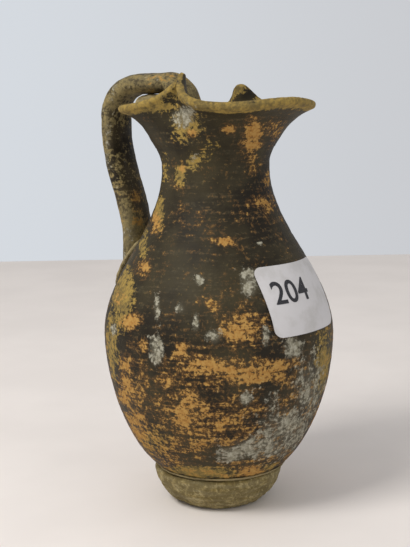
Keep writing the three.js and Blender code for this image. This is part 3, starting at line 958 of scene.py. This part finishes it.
@dataclass
class ThrownBody:
    """Foot, bead, belly and neck: what was turned on the wheel."""

    outline: Outline
    gloss: bpy.types.Material
    foot_clay: bpy.types.Material
    slip_clay: bpy.types.Material
    foot_centre: Vector
    steps: int = 320
    foot_steps: int = 260
    under_rings: int = 14
    belly_rings: int = 118
    inside_rings: int = 40
    dish_rings: int = 12
    neck_rings: int = 44
    throat_rings: int = 18
    rest_rings: int = 20
    flank_rings: int = 26
    shoulder_rings: int = 5
    hidden_rings: int = 6
    bead_points: int = 12
    rest_radius: float = 14.0
    foot_radius: float = 22.5
    foot_bulge: float = 1.25
    shoulder: float = 1.1
    lap: float = 2.2
    ledge: float = 1.8
    floor_wall: float = 5.0
    floor_dish: float = 6.0
    line_depth: float = 0.16
    line_width: float = 0.7
    ridge_width: float = 1.2
    turned_start: float = 0.25
    belly_bare_below: float = 200.0
    neck_bare_below: float = 118.0
    bare_fade: float = 12.0
    inside_wear: float = 0.2
    hidden_radius: float = 17.0
    string_cut_centre: Pair = (-16.0, 4.0)
    string_cut_waves: float = 3.2
    string_cut_lift: float = 0.10
    string_cut_swing: float = 0.08
    string_cut_margin: float = 1.5
    crumble: float = 0.30
    low_crumble: float = 0.75
    crumb_start: float = 0.35
    bead_rise: float = 1.5
    bead_swell: float = 0.55
    bead_stand_off: float = 0.1
    bead_wobble: float = 0.3

    def _wall(self, name: str, profile: list[tuple[float, float]], closed: bool) -> Piece:
        """Throws a glossed wall from its profile, with its unevenness."""
        body = spun(profile, self.steps, closed)
        for vert in body.verts:
            reach = math.hypot(vert.co.x, vert.co.y)
            if reach < 1:
                continue
            change = MARKS.relief(vert.co)
            if reach > self.outline.radius(vert.co.z) - 1:
                change -= groove(vert.co.z, self.outline.neck_joint, self.line_depth, self.line_width)
                change -= groove(vert.co.z, self.outline.mouth_joint, self.line_depth, self.ridge_width)
            push_out(vert, change)
        return Piece(name, body, self.gloss)

    def _paint(self, piece: Piece, patches: list[Patch], bare_below: float) -> None:
        """Paints a wall, with bare clay on its inside below a height in millimetres."""
        points, normals = piece.points(), piece.normals()
        base = ground_wear(points, piece.turned_away(self.turned_start))
        reach = np.linalg.norm(points[:, :2], axis=1, keepdims=True)
        outward = points[:, :2] / np.maximum(reach, SMALLEST_REACH)
        inner = np.sum(outward * normals[:, :2], axis=1) < INNER_FACING
        depth = np.clip((bare_below - points[:, 2] / MM) / self.bare_fade, 0, 1)
        bare = self.inside_wear + (1 - self.inside_wear) * depth[inner]
        clay = Wear.CLAY.value
        base[inner, clay] = np.maximum(base[inner, clay], bare)
        piece.paint(base, patches)

    def belly(self) -> Piece:
        """Throws the belly.

        Returns:
            The belly with its floor and its rebate for the neck.
        """
        line, bottom, top = self.outline, self.outline.foot_height, self.outline.neck_joint
        dish_top = bottom + self.floor_wall + self.floor_dish
        seat, rebate = top - self.lap, line.radius(top) - self.ledge
        under = levels(0, line.base_radius, self.under_rings)
        profile = [(radius, bottom) for radius in under]
        profile += [(line.radius(z), z) for z in levels(bottom, top, self.belly_rings)[1:]]
        profile += [(rebate, top), (rebate, seat)]
        profile += [(line.inside(z), z) for z in levels(seat, dish_top, self.inside_rings)]
        for turn in levels(math.pi / 2, 0, self.dish_rings)[1:]:
            drop = self.floor_dish * math.cos(turn)
            profile.append((line.inside(dish_top) * math.sin(turn), dish_top - drop))
        piece = self._wall("belly_shell", profile, False)
        self._paint(piece, BELLY_PATCHES, self.belly_bare_below)
        piece.settle("belly", "worn_gloss")
        return piece

    def neck(self) -> Piece:
        """Throws the neck.

        Returns:
            The neck sleeve with its spigot.
        """
        line, bottom, top = self.outline, self.outline.neck_joint, self.outline.mouth_joint
        seat, tip = top - self.lap, bottom - self.lap + SLIP_GAP
        rebate, spigot = line.radius(top) - self.ledge, line.radius(bottom) - self.ledge - SLIP_GAP
        profile = [(line.radius(z), z) for z in levels(bottom, top, self.neck_rings)]
        profile += [(rebate, top), (rebate, seat)]
        profile += [(line.inside(z), z) for z in levels(seat, tip, self.throat_rings)]
        profile += [(spigot, tip), (spigot, bottom)]
        piece = self._wall("neck_sleeve", profile, True)
        self._paint(piece, NECK_PATCHES, self.neck_bare_below)
        piece.settle("neck", "worn_gloss")
        return piece

    def foot(self) -> Piece:
        """Throws the disc foot, crumbled round its lower edge and string-cut underneath.

        Returns:
            The foot.
        """
        top = self.outline.foot_height
        flank_top = top - self.shoulder
        profile = [(radius, 0.0) for radius in levels(0, self.rest_radius, self.rest_rings)]
        for turn in levels(0, math.pi / 2, self.flank_rings)[1:]:
            out = math.sin(turn) ** self.foot_bulge
            reach = self.rest_radius + (self.foot_radius - self.rest_radius) * out
            up = 1 - max(math.cos(turn), 0) ** self.foot_bulge
            profile.append((reach, flank_top * up))
        for turn in levels(0, math.pi / 2, self.shoulder_rings)[1:]:
            reach = self.foot_radius - self.shoulder * (1 - math.cos(turn))
            profile.append((reach, flank_top + self.shoulder * math.sin(turn)))
        hidden = levels(self.hidden_radius, 0, self.hidden_rings)
        profile += [(radius, top) for radius in hidden]
        body = spun(profile, self.foot_steps, False)
        cut_x, cut_y = self.string_cut_centre
        for vert in body.verts:
            reach = math.hypot(vert.co.x, vert.co.y)
            if vert.co.z == 0:
                swirl = math.hypot(vert.co.x - cut_x, vert.co.y - cut_y) * self.string_cut_waves
                if reach < self.rest_radius - self.string_cut_margin:
                    vert.co.z = self.string_cut_lift + self.string_cut_swing * math.sin(swirl)
            elif reach > 1 and vert.co.z < top:
                loose = self.crumble + self.low_crumble * (1 - vert.co.z / top)
                push_out(vert, min(loose * (CRUMBS.at(vert.co) - self.crumb_start), 0))
        bmesh.ops.translate(body, vec=self.foot_centre, verts=body.verts)
        piece = Piece("foot_disc", body, self.foot_clay)
        piece.settle("foot", "foot_clay")
        return piece

    def bead(self) -> Piece:
        """Wipes the bead of slip round the angle above the foot.

        Returns:
            The bead.
        """
        profile = []
        for turn in levels(0, math.tau, self.bead_points)[:-1]:
            height = self.outline.foot_height + self.bead_rise / 2 * (1 + math.sin(turn))
            middle = self.outline.radius(height) + self.bead_stand_off
            profile.append((middle + self.bead_swell * math.cos(turn), height))
        body = spun(profile, self.foot_steps, True)
        for vert in body.verts:
            push_out(vert, self.bead_wobble * BEAD_WOBBLE.at(vert.co) - self.bead_stand_off)
        piece = Piece("foot_luting_ring", body, self.slip_clay)
        piece.settle("foot_luting_bead", "slip_clay")
        return piece


@dataclass(frozen=True)
class Fold:
    """One fold of the rim. Angles and spreads are in degrees from the spout, lengths in mm."""

    angle: float
    radius: float
    spout_spread: float
    spread: float
    lift: float
    lift_spread: float
    lift_power: float

    def strength(self, bearing: float) -> float:
        """How strongly the fold acts at a bearing."""
        off = bearing_off(bearing, self.angle)
        spread = self.spout_spread if off * math.copysign(1, self.angle) < 0 else self.spread
        return math.exp(-((abs(off) / spread) ** FOLD_POWER))

    def raised(self, bearing: float) -> float:
        """How far the fold lifts the rim at a bearing."""
        off = math.hypot(bearing_off(bearing, self.angle), FOLD_SOFTENING) - FOLD_SOFTENING
        return self.lift * math.exp(-((off / self.lift_spread) ** self.lift_power))


def bearing_off(bearing: float, centre: float) -> float:
    """Angle between two bearings, from -180 to 180 degrees."""
    return (bearing - centre + 180) % 360 - 180


def smooth(value: float, low: float, high: float) -> float:
    """A smooth step from 0 at low to 1 at high."""
    share = min(max((value - low) / (high - low), 0), 1)
    return share * share * (3 - 2 * share)


@dataclass(frozen=True)
class TrefoilMouth:
    """The flared mouth, pinched into three lobes, with a rolled lip. Lengths in millimetres."""

    outline: Outline
    folds: tuple[Fold, ...] = (
        Fold(-92.5, 19.6, 10, 21, 10.4, 11.5, 1),
        Fold(92.5, 19.6, 16, 21, 6.5, 8.5, 2),
        Fold(180, 16.8, 19, 19, 2.5, 15, 2),
    )
    rise: float = 13.2
    spout_reach: float = 33.4
    cheek_reach: float = 31.5
    lobe_reach: float = 32.6
    cheek_angle: float = 60
    lobe_angle: float = 135
    spout_lift: float = 1.9
    spout_lift_angle: float = -14
    spout_lift_spread: float = 28
    lip_wall: float = 3.2
    flare_pull: float = 0.4
    lip_pull: float = 0.42
    spout_lean: float = 26.0
    cheek_lean: float = 14.0
    fold_lean: float = 84.0
    wall_steps: int = 36
    lip_steps: int = 16
    round_steps: int = 400
    chip_depth: float = 0.28
    chips_from: float = 0.75
    turned_start: float = 0.2
    turned_share: float = 0.7
    lip_worn_to: Pair = (1.5, 4.2)
    lip_fade: float = 0.95
    share_step: float = 1e-3
    bearing_step: float = 0.1
    tilted_from: float = 0.3
    lip_wall_from: float = 0.6

    def rim(self, bearing: float) -> tuple[float, float, float]:
        """The rim at a bearing.

        Args:
            bearing: Degrees from the spout.

        Returns:
            Its reach, its height and the lean of the lip in degrees.
        """
        off = abs(bearing_off(bearing, 0))
        past = smooth(off, 0, self.cheek_angle)
        front = self.spout_reach + (self.cheek_reach - self.spout_reach) * past
        share = smooth(off, self.cheek_angle, self.lobe_angle)
        free = front + (self.lobe_reach - front) * share
        strengths = [fold.strength(bearing) for fold in self.folds]
        drawn = sum((free - fold.radius) * s for fold, s in zip(self.folds, strengths))
        lift = bearing_off(bearing, self.spout_lift_angle) / self.spout_lift_spread
        height = self.outline.mouth_joint + self.rise + self.spout_lift * math.exp(-(lift**2))
        height += sum(fold.raised(bearing) for fold in self.folds)
        open_lean = self.spout_lean + (self.cheek_lean - self.spout_lean) * past
        lean = open_lean + (self.fold_lean - open_lean) * max(strengths)
        return free - drawn, height, lean

    @lru_cache(maxsize=None)
    def middle(self, bearing: float, share: float) -> Vector:
        """Middle of the wall at a bearing and a share of the way from the joint to the lip."""
        joint = self.outline.mouth_joint
        reach, height, lean = self.rim(bearing)
        foot = (self.outline.radius(joint) + self.outline.inside(joint)) / 2
        start, end = np.array((foot, joint)), np.array((reach, height))
        span = float(np.linalg.norm(end - start))
        slope = self.outline.flare_slope
        rise = np.array((slope, 1)) / math.hypot(slope, 1) * self.flare_pull * span
        turn = math.radians(lean)
        back = np.array((math.cos(turn), math.sin(turn))) * self.lip_pull * span
        across, up = on_curve(np.array((start, start + rise, end - back, end)), share).tolist()
        round_turn = math.radians(bearing)
        return Vector((across * math.cos(round_turn), across * math.sin(round_turn), up))

    @lru_cache(maxsize=None)
    def directions(self, bearing: float, share: float) -> tuple[Vector, Vector]:
        """Outwards and upwards along the wall at a bearing and share."""
        high, low = min(share + self.share_step, 1), max(share - self.share_step, 0)
        upward = (self.middle(bearing, high) - self.middle(bearing, low)).normalized()
        left, right = bearing + self.bearing_step, bearing - self.bearing_step
        round_way = self.middle(left, share) - self.middle(right, share)
        normal = round_way.cross(upward).normalized()
        turn = math.radians(bearing)
        level = Vector((math.cos(turn), math.sin(turn), 0))
        return level.lerp(normal, smooth(share, 0, self.tilted_from)).normalized(), upward

    def skin(self, bearing: float, share: float, rolled: float) -> Vector:
        """A point of the wall's skin, rolled 0 degrees on the outside and 180 on the inside."""
        joint = self.outline.mouth_joint
        base = (self.outline.radius(joint) - self.outline.inside(joint)) / 2
        half = base + (self.lip_wall / 2 - base) * smooth(share, 0, self.lip_wall_from)
        outward, upward = self.directions(bearing, share)
        turn = math.radians(rolled)
        point = self.middle(bearing, share) + outward * (half * math.cos(turn))
        return point + upward * (half * math.sin(turn))

    def make(self, gloss: bpy.types.Material) -> Piece:
        """Pinches the mouth.

        Args:
            gloss: Its material.

        Returns:
            The mouth with its worn lip.
        """
        along = levels(0, 1, self.wall_steps)
        rings = [(share, 0.0) for share in along[:-1]]
        rings += [(1.0, rolled) for rolled in levels(0, 180, self.lip_steps)]
        rings += [(share, 180.0) for share in reversed(along[:-1])]
        body = spun([(1.0, float(k)) for k in range(len(rings))], self.round_steps, True)
        for vert in body.verts:
            share, rolled = rings[round(vert.co.z)]
            bearing = round(bearing_of(vert.co), 3)
            point = self.skin(bearing, share, rolled)
            outward, upward = self.directions(bearing, share)
            near_lip = smooth(share, self.chips_from, 1)
            change = MARKS.relief(point) + near_lip * self.chip_depth * min(CHIPS.at(point), 0)
            vert.co = point + outward * (change * math.cos(math.radians(rolled)))
            vert.co += upward * (change * near_lip * math.sin(math.radians(rolled)))
        bmesh.ops.recalc_face_normals(body, faces=body.faces)
        body.verts.index_update()
        worn_lip = np.array([self._lip_level(vert.co) for vert in body.verts])
        piece = Piece("trefoil_mouth_wall", body, gloss)
        base = ground_wear(piece.points(), piece.turned_away(self.turned_start) * self.turned_share)
        tan = Wear.TAN.value
        base[:, tan] = np.maximum(base[:, tan], worn_lip)
        piece.paint(base, MOUTH_PATCHES)
        piece.settle("trefoil_mouth", "worn_gloss")
        return piece

    def _lip_level(self, point: Vector) -> float:
        """How worn the lip is near a point, fading over the first millimetres below the rim."""
        reach, height, _ = self.rim(bearing_of(point))
        away = math.hypot(math.hypot(point.x, point.y) - reach, point.z - height)
        return 1.0 - self.lip_fade * smooth(away, *self.lip_worn_to)


def bearing_of(point: Vector) -> float:
    """Bearing of a point from the spout, in degrees."""
    return math.degrees(math.atan2(point.y, point.x))


@dataclass(frozen=True)
class StrapHandle:
    """The pulled strap and the clay that lutes it on. Lengths in millimetres."""

    outline: Outline
    rim_height: float
    width: float = 15.2
    thickness: float = 8.2
    root_width: float = 19.0
    reach: float = 40.6
    arch_rise: float = 8.7
    root_drop: float = 18.0
    root_sink: float = 3.8
    root_length: float = 8.0
    fold_radius: float = 16.8
    lip_wall: float = 3.2
    outer_bend: Pair = (12.0, 11.0)
    inner_bend: Pair = (7.2, 10.0)
    tail_length: float = 9.0
    tail_thinning: float = 0.35
    quarter_pull: float = 0.552
    segments: int = 72
    rings: int = 190
    stretch_points: int = 60
    limb_points: int = 120
    look_ahead: float = 0.004
    lump_divisions: int = 6
    crowding: float = 0.45
    root_spread_to: float = 0.22
    tail_spread_from: float = 0.8
    tail_thin_from: float = 0.88
    end_from: float = 0.975
    end_rounding: float = 0.96
    flattening: float = 0.92
    squareness: float = 0.86
    wobble_depth: float = 0.30
    shrinkage: float = 0.18
    furrow_depth: float = 0.09
    furrow_waves: float = 6.2
    turned: float = 0.55
    rubbed: float = 0.38
    smear_half: Triple = (2.4, 11.4, 12.6)
    smear_rise: float = 6.0
    web_half: Triple = (6.4, 6.6, 4.6)
    web_back: float = 7.0
    web_rise: float = 0.4
    web_squareness: float = 0.62
    finger_depth: float = 0.55
    finger_sink: float = 0.25

    @lru_cache(maxsize=None)
    def run(self) -> np.ndarray:
        """The strap's middle line as rows of reach, height and length so far."""
        root_height = self.outline.neck_joint - self.root_drop
        root = self.outline.radius(root_height) - self.root_sink
        top = self.rim_height + self.arch_rise
        throat = self.fold_radius - self.lip_wall / 2 - self.thickness / 2 - SLIP_GAP
        limb, elbow = root_height + self.root_length, top - self.outer_bend[1]
        half = (elbow - limb) / 2
        arch_start, arch_end = self.reach - self.outer_bend[0], throat + self.inner_bend[0]
        tail = top - self.inner_bend[1]

        def straight(start: tuple, end: tuple) -> np.ndarray:
            """A straight stretch."""
            return np.linspace(start, end, self.stretch_points)

        def quarter(start: tuple, corner: tuple, end: tuple) -> np.ndarray:
            """A round quarter turn."""
            a, b, c = (np.array(p, float) for p in (start, corner, end))
            pull = self.quarter_pull
            corners = np.array([a, a + (b - a) * pull, c + (b - c) * pull, c])
            return bezier(corners, self.stretch_points)

        bow = [(root, limb), (root, limb + half), (self.reach, elbow - half), (self.reach, elbow)]
        stretches = [
            straight((root, root_height), (root, limb)),
            bezier(np.array(bow), self.limb_points),
            quarter((self.reach, elbow), (self.reach, top), (arch_start, top)),
            straight((arch_start, top), (arch_end, top)),
            quarter((arch_end, top), (throat, top), (throat, tail)),
            straight((throat, tail), (throat, tail - self.tail_length)),
        ]
        points = np.concatenate(stretches)
        gaps = np.linalg.norm(np.diff(points, axis=0), axis=1)
        return np.column_stack([points, np.concatenate([[0], np.cumsum(gaps)])])

    def centre(self, share: float) -> Vector:
        """The middle line at a share of its length."""
        line = self.run()
        along = share * line[-1, 2]
        reach = float(np.interp(along, line[:, 2], line[:, 0]))
        return Vector((-reach, 0, float(np.interp(along, line[:, 2], line[:, 1]))))

    def strap(self, gloss: bpy.types.Material) -> Piece:
        """Pulls the strap.

        Args:
            gloss: Its material.

        Returns:
            The strap, from its root on the shoulder to its tail in the throat.
        """
        body = bmesh.new()
        bmesh.ops.create_cone(
            body, cap_ends=True, segments=self.segments, radius1=1, radius2=1, depth=1,
        )
        upright = [e for e in body.edges if abs(e.verts[0].co.z - e.verts[1].co.z) > 0.5]
        bmesh.ops.subdivide_edges(body, edges=upright, cuts=self.rings, use_grid_fill=True)
        across = Vector((0, 1, 0))
        for vert in body.verts:
            even = vert.co.z + 0.5
            crowded = (1 - math.cos(math.pi * even)) / 2
            share = (1 - self.crowding) * even + self.crowding * crowded
            turn = math.atan2(vert.co.y, vert.co.x)
            centre = self.centre(share)
            before, after = max(share - self.look_ahead, 0), min(share + self.look_ahead, 1)
            face = (self.centre(after) - self.centre(before)).cross(across).normalized()
            root_spread = 1 - smooth(share, 0, self.root_spread_to)
            spread = max(root_spread, smooth(share, self.tail_spread_from, 1))
            thin = 1 - self.tail_thinning * smooth(share, self.tail_thin_from, 1)
            end = min(max((share - self.end_from) / (1 - self.end_from), 0), 1)
            rounding = math.sqrt(max(1 - self.end_rounding * end * end, 0))
            half_width = (self.width + (self.root_width - self.width) * spread) / 2 * rounding
            half_depth = self.thickness / 2 * thin * rounding
            side, over = math.cos(turn), math.sin(turn)
            flat = self.flattening * math.copysign(abs(over) ** self.squareness, over)
            point = centre + across * (half_width * side) + face * (half_depth * flat)
            furrow = self.furrow_depth * math.sin(self.furrow_waves * side) * abs(over)
            change = self.wobble_depth * STRAP_WOBBLE.at(point) - self.shrinkage + furrow
            point += (across * side + face * over).normalized() * change
            vert.co = self.outline.pressed(point)
        bmesh.ops.recalc_face_normals(body, faces=body.faces)
        piece = Piece("strap_handle", body, gloss)
        points = piece.points()
        base = ground_wear(points, np.full(len(points), self.turned))
        tan = Wear.TAN.value
        base[:, tan] = np.clip(base[:, tan] + self.rubbed, 0, 1)
        piece.paint(base, HANDLE_PATCHES)
        piece.settle("handle", "handle_gloss")
        return piece

    def _lump(
        self, half: Triple, lean: float, centre: Vector, squareness: float,
    ) -> bmesh.types.BMesh:
        """A hand-pressed lump of clay.

        Args:
            half: Half its depth, width and height.
            lean: Radians that it leans over in the handle's plane.
            centre: Its middle.
            squareness: 1 for an egg shape, less for a fuller block.

        Returns:
            The lump with finger-pressed unevenness.
        """
        body = bmesh.new()
        bmesh.ops.create_icosphere(body, subdivisions=self.lump_divisions, radius=1)
        for vert in body.verts:
            vert.co = [math.copysign(abs(part) ** squareness, part) for part in vert.co]
        bmesh.ops.scale(body, vec=half, verts=body.verts)
        turned = Matrix.Rotation(lean, 3, "Y")
        bmesh.ops.rotate(body, cent=(0, 0, 0), matrix=turned, verts=body.verts)
        bmesh.ops.translate(body, vec=centre, verts=body.verts)
        for vert in body.verts:
            out = (vert.co - centre).normalized()
            vert.co += out * (self.finger_depth * FINGER_MARKS.at(vert.co) - self.finger_sink)
            vert.co = self.outline.pressed(vert.co)
        return body

    def lower_luting(self, clay: bpy.types.Material) -> Piece:
        """Smears clay round the lower root.

        Args:
            clay: Its material.

        Returns:
            The smear.
        """
        height = self.outline.neck_joint - self.root_drop + self.smear_rise
        lean = math.atan(-self.outline.slope(height))
        centre = Vector((-self.outline.radius(height), 0, height))
        body = self._lump(self.smear_half, lean, centre, 1.0)
        piece = Piece("lower_luting", body, clay)
        piece.settle("handle_lower_luting", "slip_clay")
        return piece

    def upper_luting(self, clay: bpy.types.Material) -> Piece:
        """Packs clay under the strap behind the rim.

        Args:
            clay: Its material.

        Returns:
            The web of clay.
        """
        back = self.fold_radius + self.web_back
        centre = Vector((-back, 0, self.rim_height + self.web_rise))
        body = self._lump(self.web_half, 0.0, centre, self.web_squareness)
        piece = Piece("upper_luting", body, clay)
        piece.settle("handle_upper_luting", "slip_clay")
        return piece


@dataclass(frozen=True)
class PaperLabel:
    """The paper label and its plain printed figures. Lengths in millimetres."""

    outline: Outline
    width: float = 33.0
    height: float = 24.0
    corner: float = 3.0
    thickness: float = 0.22
    lift: float = 0.25
    bearing: float = -9.0
    centre_height: float = 75.6
    figures: str = "204"
    figure_height: float = 7.4
    figures_left: float = 3.2
    figures_above_centre: float = -0.6
    ink_lift: float = 0.06
    corner_curl: float = 0.55
    curl_reach: float = 4.5
    buckle_depth: float = 0.10
    buckle_waves: float = 0.13
    cap_share: float = 0.70
    stroke: float = 0.16
    spacing: float = 1.02
    cuts: int = 24
    columns: int = 64
    rows: int = 56

    def on_belly(self, across: float, up: float, lift: float) -> Vector:
        """A point of the flat label wrapped on the belly."""
        line = self.outline
        height = self.centre_height + up / math.hypot(1, line.slope(self.centre_height))
        turn = math.radians(self.bearing) + across / line.radius(height)
        reach = line.radius(height) + lift
        return Vector((reach * math.cos(turn), reach * math.sin(turn), height))

    def curl(self, across: float, up: float) -> float:
        """How far a point of the label has lifted off: its upper left corner and a slow buckle."""
        corner = math.hypot(across + self.width / 2, up - self.height / 2)
        buckle = 1 + noise.noise(Vector((across, up, 0)) * self.buckle_waves)
        curl = self.corner_curl * math.exp(-((corner / self.curl_reach) ** 2))
        return curl + self.buckle_depth * buckle

    def paper(self, material: bpy.types.Material) -> Piece:
        """Cuts the label and sticks it on.

        Args:
            material: The paper.

        Returns:
            The label.
        """
        body = bmesh.new()
        bmesh.ops.create_grid(body, x_segments=self.columns, y_segments=self.rows, size=1)
        for vert in body.verts:
            up = self.height / 2 * math.sin(vert.co.y * math.pi / 2)
            past = max(abs(up) - (self.height / 2 - self.corner), 0)
            inset = self.corner - math.sqrt(max(self.corner**2 - past**2, 0))
            across = (self.width / 2 - inset) * vert.co.x
            vert.co = self.on_belly(across, up, self.lift + self.curl(across, up))
        bmesh.ops.recalc_face_normals(body, faces=body.faces)
        middle = self.on_belly(0, 0, 0)
        face = min(body.faces, key=lambda f: (f.calc_center_median() - middle).length)
        if face.normal.dot(Vector((middle.x, middle.y, 0))) < 0:
            bmesh.ops.reverse_faces(body, faces=body.faces)
        bmesh.ops.solidify(body, geom=body.faces[:], thickness=self.thickness)
        piece = Piece("paper_label", body, material)
        piece.settle("label", "label_paper")
        return piece

    def print_figures(self, ink: bpy.types.Material) -> bpy.types.Object:
        """Prints the figures.

        Args:
            ink: Their material.

        Returns:
            The figures, wrapped on the label.
        """
        words = bpy.data.curves.new("figures_source", "FONT")
        words.body = self.figures
        words.size = self.figure_height / self.cap_share
        words.offset = self.stroke
        words.space_character = self.spacing
        source = bpy.data.objects.new("figures_source", words)
        bpy.context.scene.collection.objects.link(source)
        bpy.context.view_layer.update()
        flat = source.evaluated_get(bpy.context.evaluated_depsgraph_get()).to_mesh()
        body = bmesh.new()
        body.from_mesh(flat)
        bpy.data.objects.remove(source)
        for cut in range(1, self.cuts):
            everything = body.verts[:] + body.edges[:] + body.faces[:]
            bmesh.ops.bisect_plane(body, geom=everything, plane_co=(cut, 0, 0), plane_no=(1, 0, 0))
        for vert in body.verts:
            across = vert.co.x - self.width / 2 + self.figures_left
            up = vert.co.y + self.figures_above_centre
            lift = self.lift + self.curl(across, up) + self.ink_lift
            vert.co = self.on_belly(across, up, lift)
        bmesh.ops.triangulate(body, faces=body.faces)
        piece = Piece("label_figures", body, ink)
        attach(piece.obj, "root")
        LOG.info("label_figures: %d faces", len(piece.mesh.polygons))
        return piece.obj


@dataclass(frozen=True)
class Studio:
    """Pale table top, pale wall and soft light from the left, as in the photograph."""

    table: Colour = (0.86, 0.815, 0.795, 1)
    # The two wall colours carry painted shade: lit on the left, shaded towards the right.
    lit_wall_left: Colour = (0.67, 0.705, 0.75, 1)
    shaded_wall_right: Colour = (0.58, 0.59, 0.615, 1)
    air: Colour = (1.0, 0.985, 0.97, 1)
    air_strength: float = 0.54
    table_depth: float = 0.575
    table_half_width: float = 1.6
    table_shade: float = 0.95
    table_cloud: Texture = Texture(60, 3, 0.5)
    cloud_edge: Pair = (0.3, 0.7)
    table_roughness: float = 0.6
    table_unevenness: float = 0.1
    table_sheen: float = 0.3
    key_place: Triple = (-0.46, -0.40, 0.74)
    key_size: float = 0.34
    key_power: float = 5.6
    key_colour: Triple = (1.0, 0.97, 0.92)
    fill_place: Triple = (0.75, -0.75, 0.45)
    fill_size: float = 0.9
    fill_power: float = 1.6
    fill_colour: Triple = (0.94, 0.97, 1.0)
    aim_height: float = 0.07
    wall_turn: Pair = (-0.25, 0.3)

    def floor(self) -> bpy.types.Object:
        """Lays the table top.

        Returns:
            The table top.
        """
        body = bmesh.new()
        bmesh.ops.create_grid(body, x_segments=1, y_segments=1, size=1)
        for vert in body.verts:
            depth = self.table_depth if vert.co.y > 0 else -self.table_half_width
            vert.co = CAMERA.turned(vert.co.x * self.table_half_width, depth, 0)
        mesh = bpy.data.meshes.new("table_top")
        body.to_mesh(mesh)
        body.free()
        material = bpy.data.materials.new("table_top")
        graph = NodeGraph(material)
        cloud = graph.noise(graph.stretched(EVEN), self.table_cloud)
        darker = tuple(self.table_shade * part for part in self.table[:3]) + (1,)
        colour = graph.mix(cloud.step(*self.cloud_edge), self.table, darker)
        uneven = cloud * self.table_unevenness
        graph.surface(colour, self.table_roughness + uneven, uneven, self.table_sheen)
        mesh.materials.append(material)
        top = bpy.data.objects.new("table_top", mesh)
        bpy.context.scene.collection.objects.link(top)
        return top

    def lamp(self, name: str, place: Vector, size: float, power: float, colour: tuple) -> None:
        """Hangs a soft square lamp that looks at the jug.

        Args:
            name: Its name.
            place: Its place in metres.
            size: Its side in metres.
            power: Its power in watts.
            colour: Its colour.
        """
        data = bpy.data.lights.new(name, "AREA")
        data.size = size
        data.energy = power
        data.color = colour
        lamp = bpy.data.objects.new(name, data)
        target = Vector((0, 0, self.aim_height))
        lamp.matrix_world = Matrix.Translation(place) @ (
            (target - place).to_track_quat("-Z", "Y").to_matrix().to_4x4()
        )
        bpy.context.scene.collection.objects.link(lamp)

    def air_and_wall(self) -> None:
        """Lights the room and shows the camera a wall with painted shade, lighter on the left and
        darker to the right.
        """
        world = bpy.data.worlds.new("room")
        bpy.context.scene.world = world
        graph = NodeGraph(world)
        direction = graph.node("ShaderNodeTexCoord", {}, {})
        right = tuple(CAMERA.turned(1, 0, 0))
        dot = graph.node(
            "ShaderNodeVectorMath", {"operation": "DOT_PRODUCT"}, {0: direction, 1: right},
            DOT_PRODUCT_VALUE,
        )
        # Painted shade on the wall: it darkens from left to right across the view.
        wall = graph.mix(dot.step(*self.wall_turn), self.lit_wall_left, self.shaded_wall_right)
        light = tuple(self.air_strength * part for part in self.air[:3]) + (1,)
        seen = graph.mix(graph.node("ShaderNodeLightPath", {}, {}), light, wall)
        shader = graph.node("ShaderNodeBackground", {}, {0: seen, 1: 1.0})
        graph.node("ShaderNodeOutputWorld", {}, {0: shader})

    def build(self) -> None:
        """Sets the table, the light and the camera."""
        self.floor()
        key, fill = CAMERA.turned(*self.key_place), CAMERA.turned(*self.fill_place)
        self.lamp("window_light", key, self.key_size, self.key_power, self.key_colour)
        self.lamp("room_light", fill, self.fill_size, self.fill_power, self.fill_colour)
        self.air_and_wall()
        CAMERA.make()
        bpy.context.scene.view_settings.view_transform = "Standard"


def main() -> None:
    """Dresses the jug piece by piece and sets the scene."""
    logging.basicConfig(level=logging.INFO, format="%(name)s: %(message)s")
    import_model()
    foot_low, foot_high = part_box("foot")
    belly_low, belly_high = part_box("belly")
    neck_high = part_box("neck")[1]
    outline = Outline(
        belly_radius=belly_high.x / MM,
        foot_height=belly_low.z / MM,
        neck_joint=belly_high.z / MM,
        mouth_joint=neck_high.z / MM,
    )
    centre = (foot_low + foot_high) / 2 / MM
    gloss = WALL_GLOSS.make()
    slip_clay = SLIP_CLAY.make()
    foot_centre = Vector((centre.x, centre.y, 0))
    thrown = ThrownBody(outline, gloss, FOOT_CLAY.make(), slip_clay, foot_centre)
    thrown.foot()
    thrown.bead()
    thrown.belly()
    thrown.neck()
    mouth = TrefoilMouth(outline)
    mouth.make(gloss)
    handle = StrapHandle(outline, outline.mouth_joint + mouth.rise)
    handle.strap(HANDLE_GLOSS.make())
    handle.lower_luting(slip_clay)
    handle.upper_luting(slip_clay)
    label = PaperLabel(outline)
    label.paper(LabelPaper().make())
    label.print_figures(LabelInk().make())
    Studio().build()


if __name__ == "__main__":
    main()
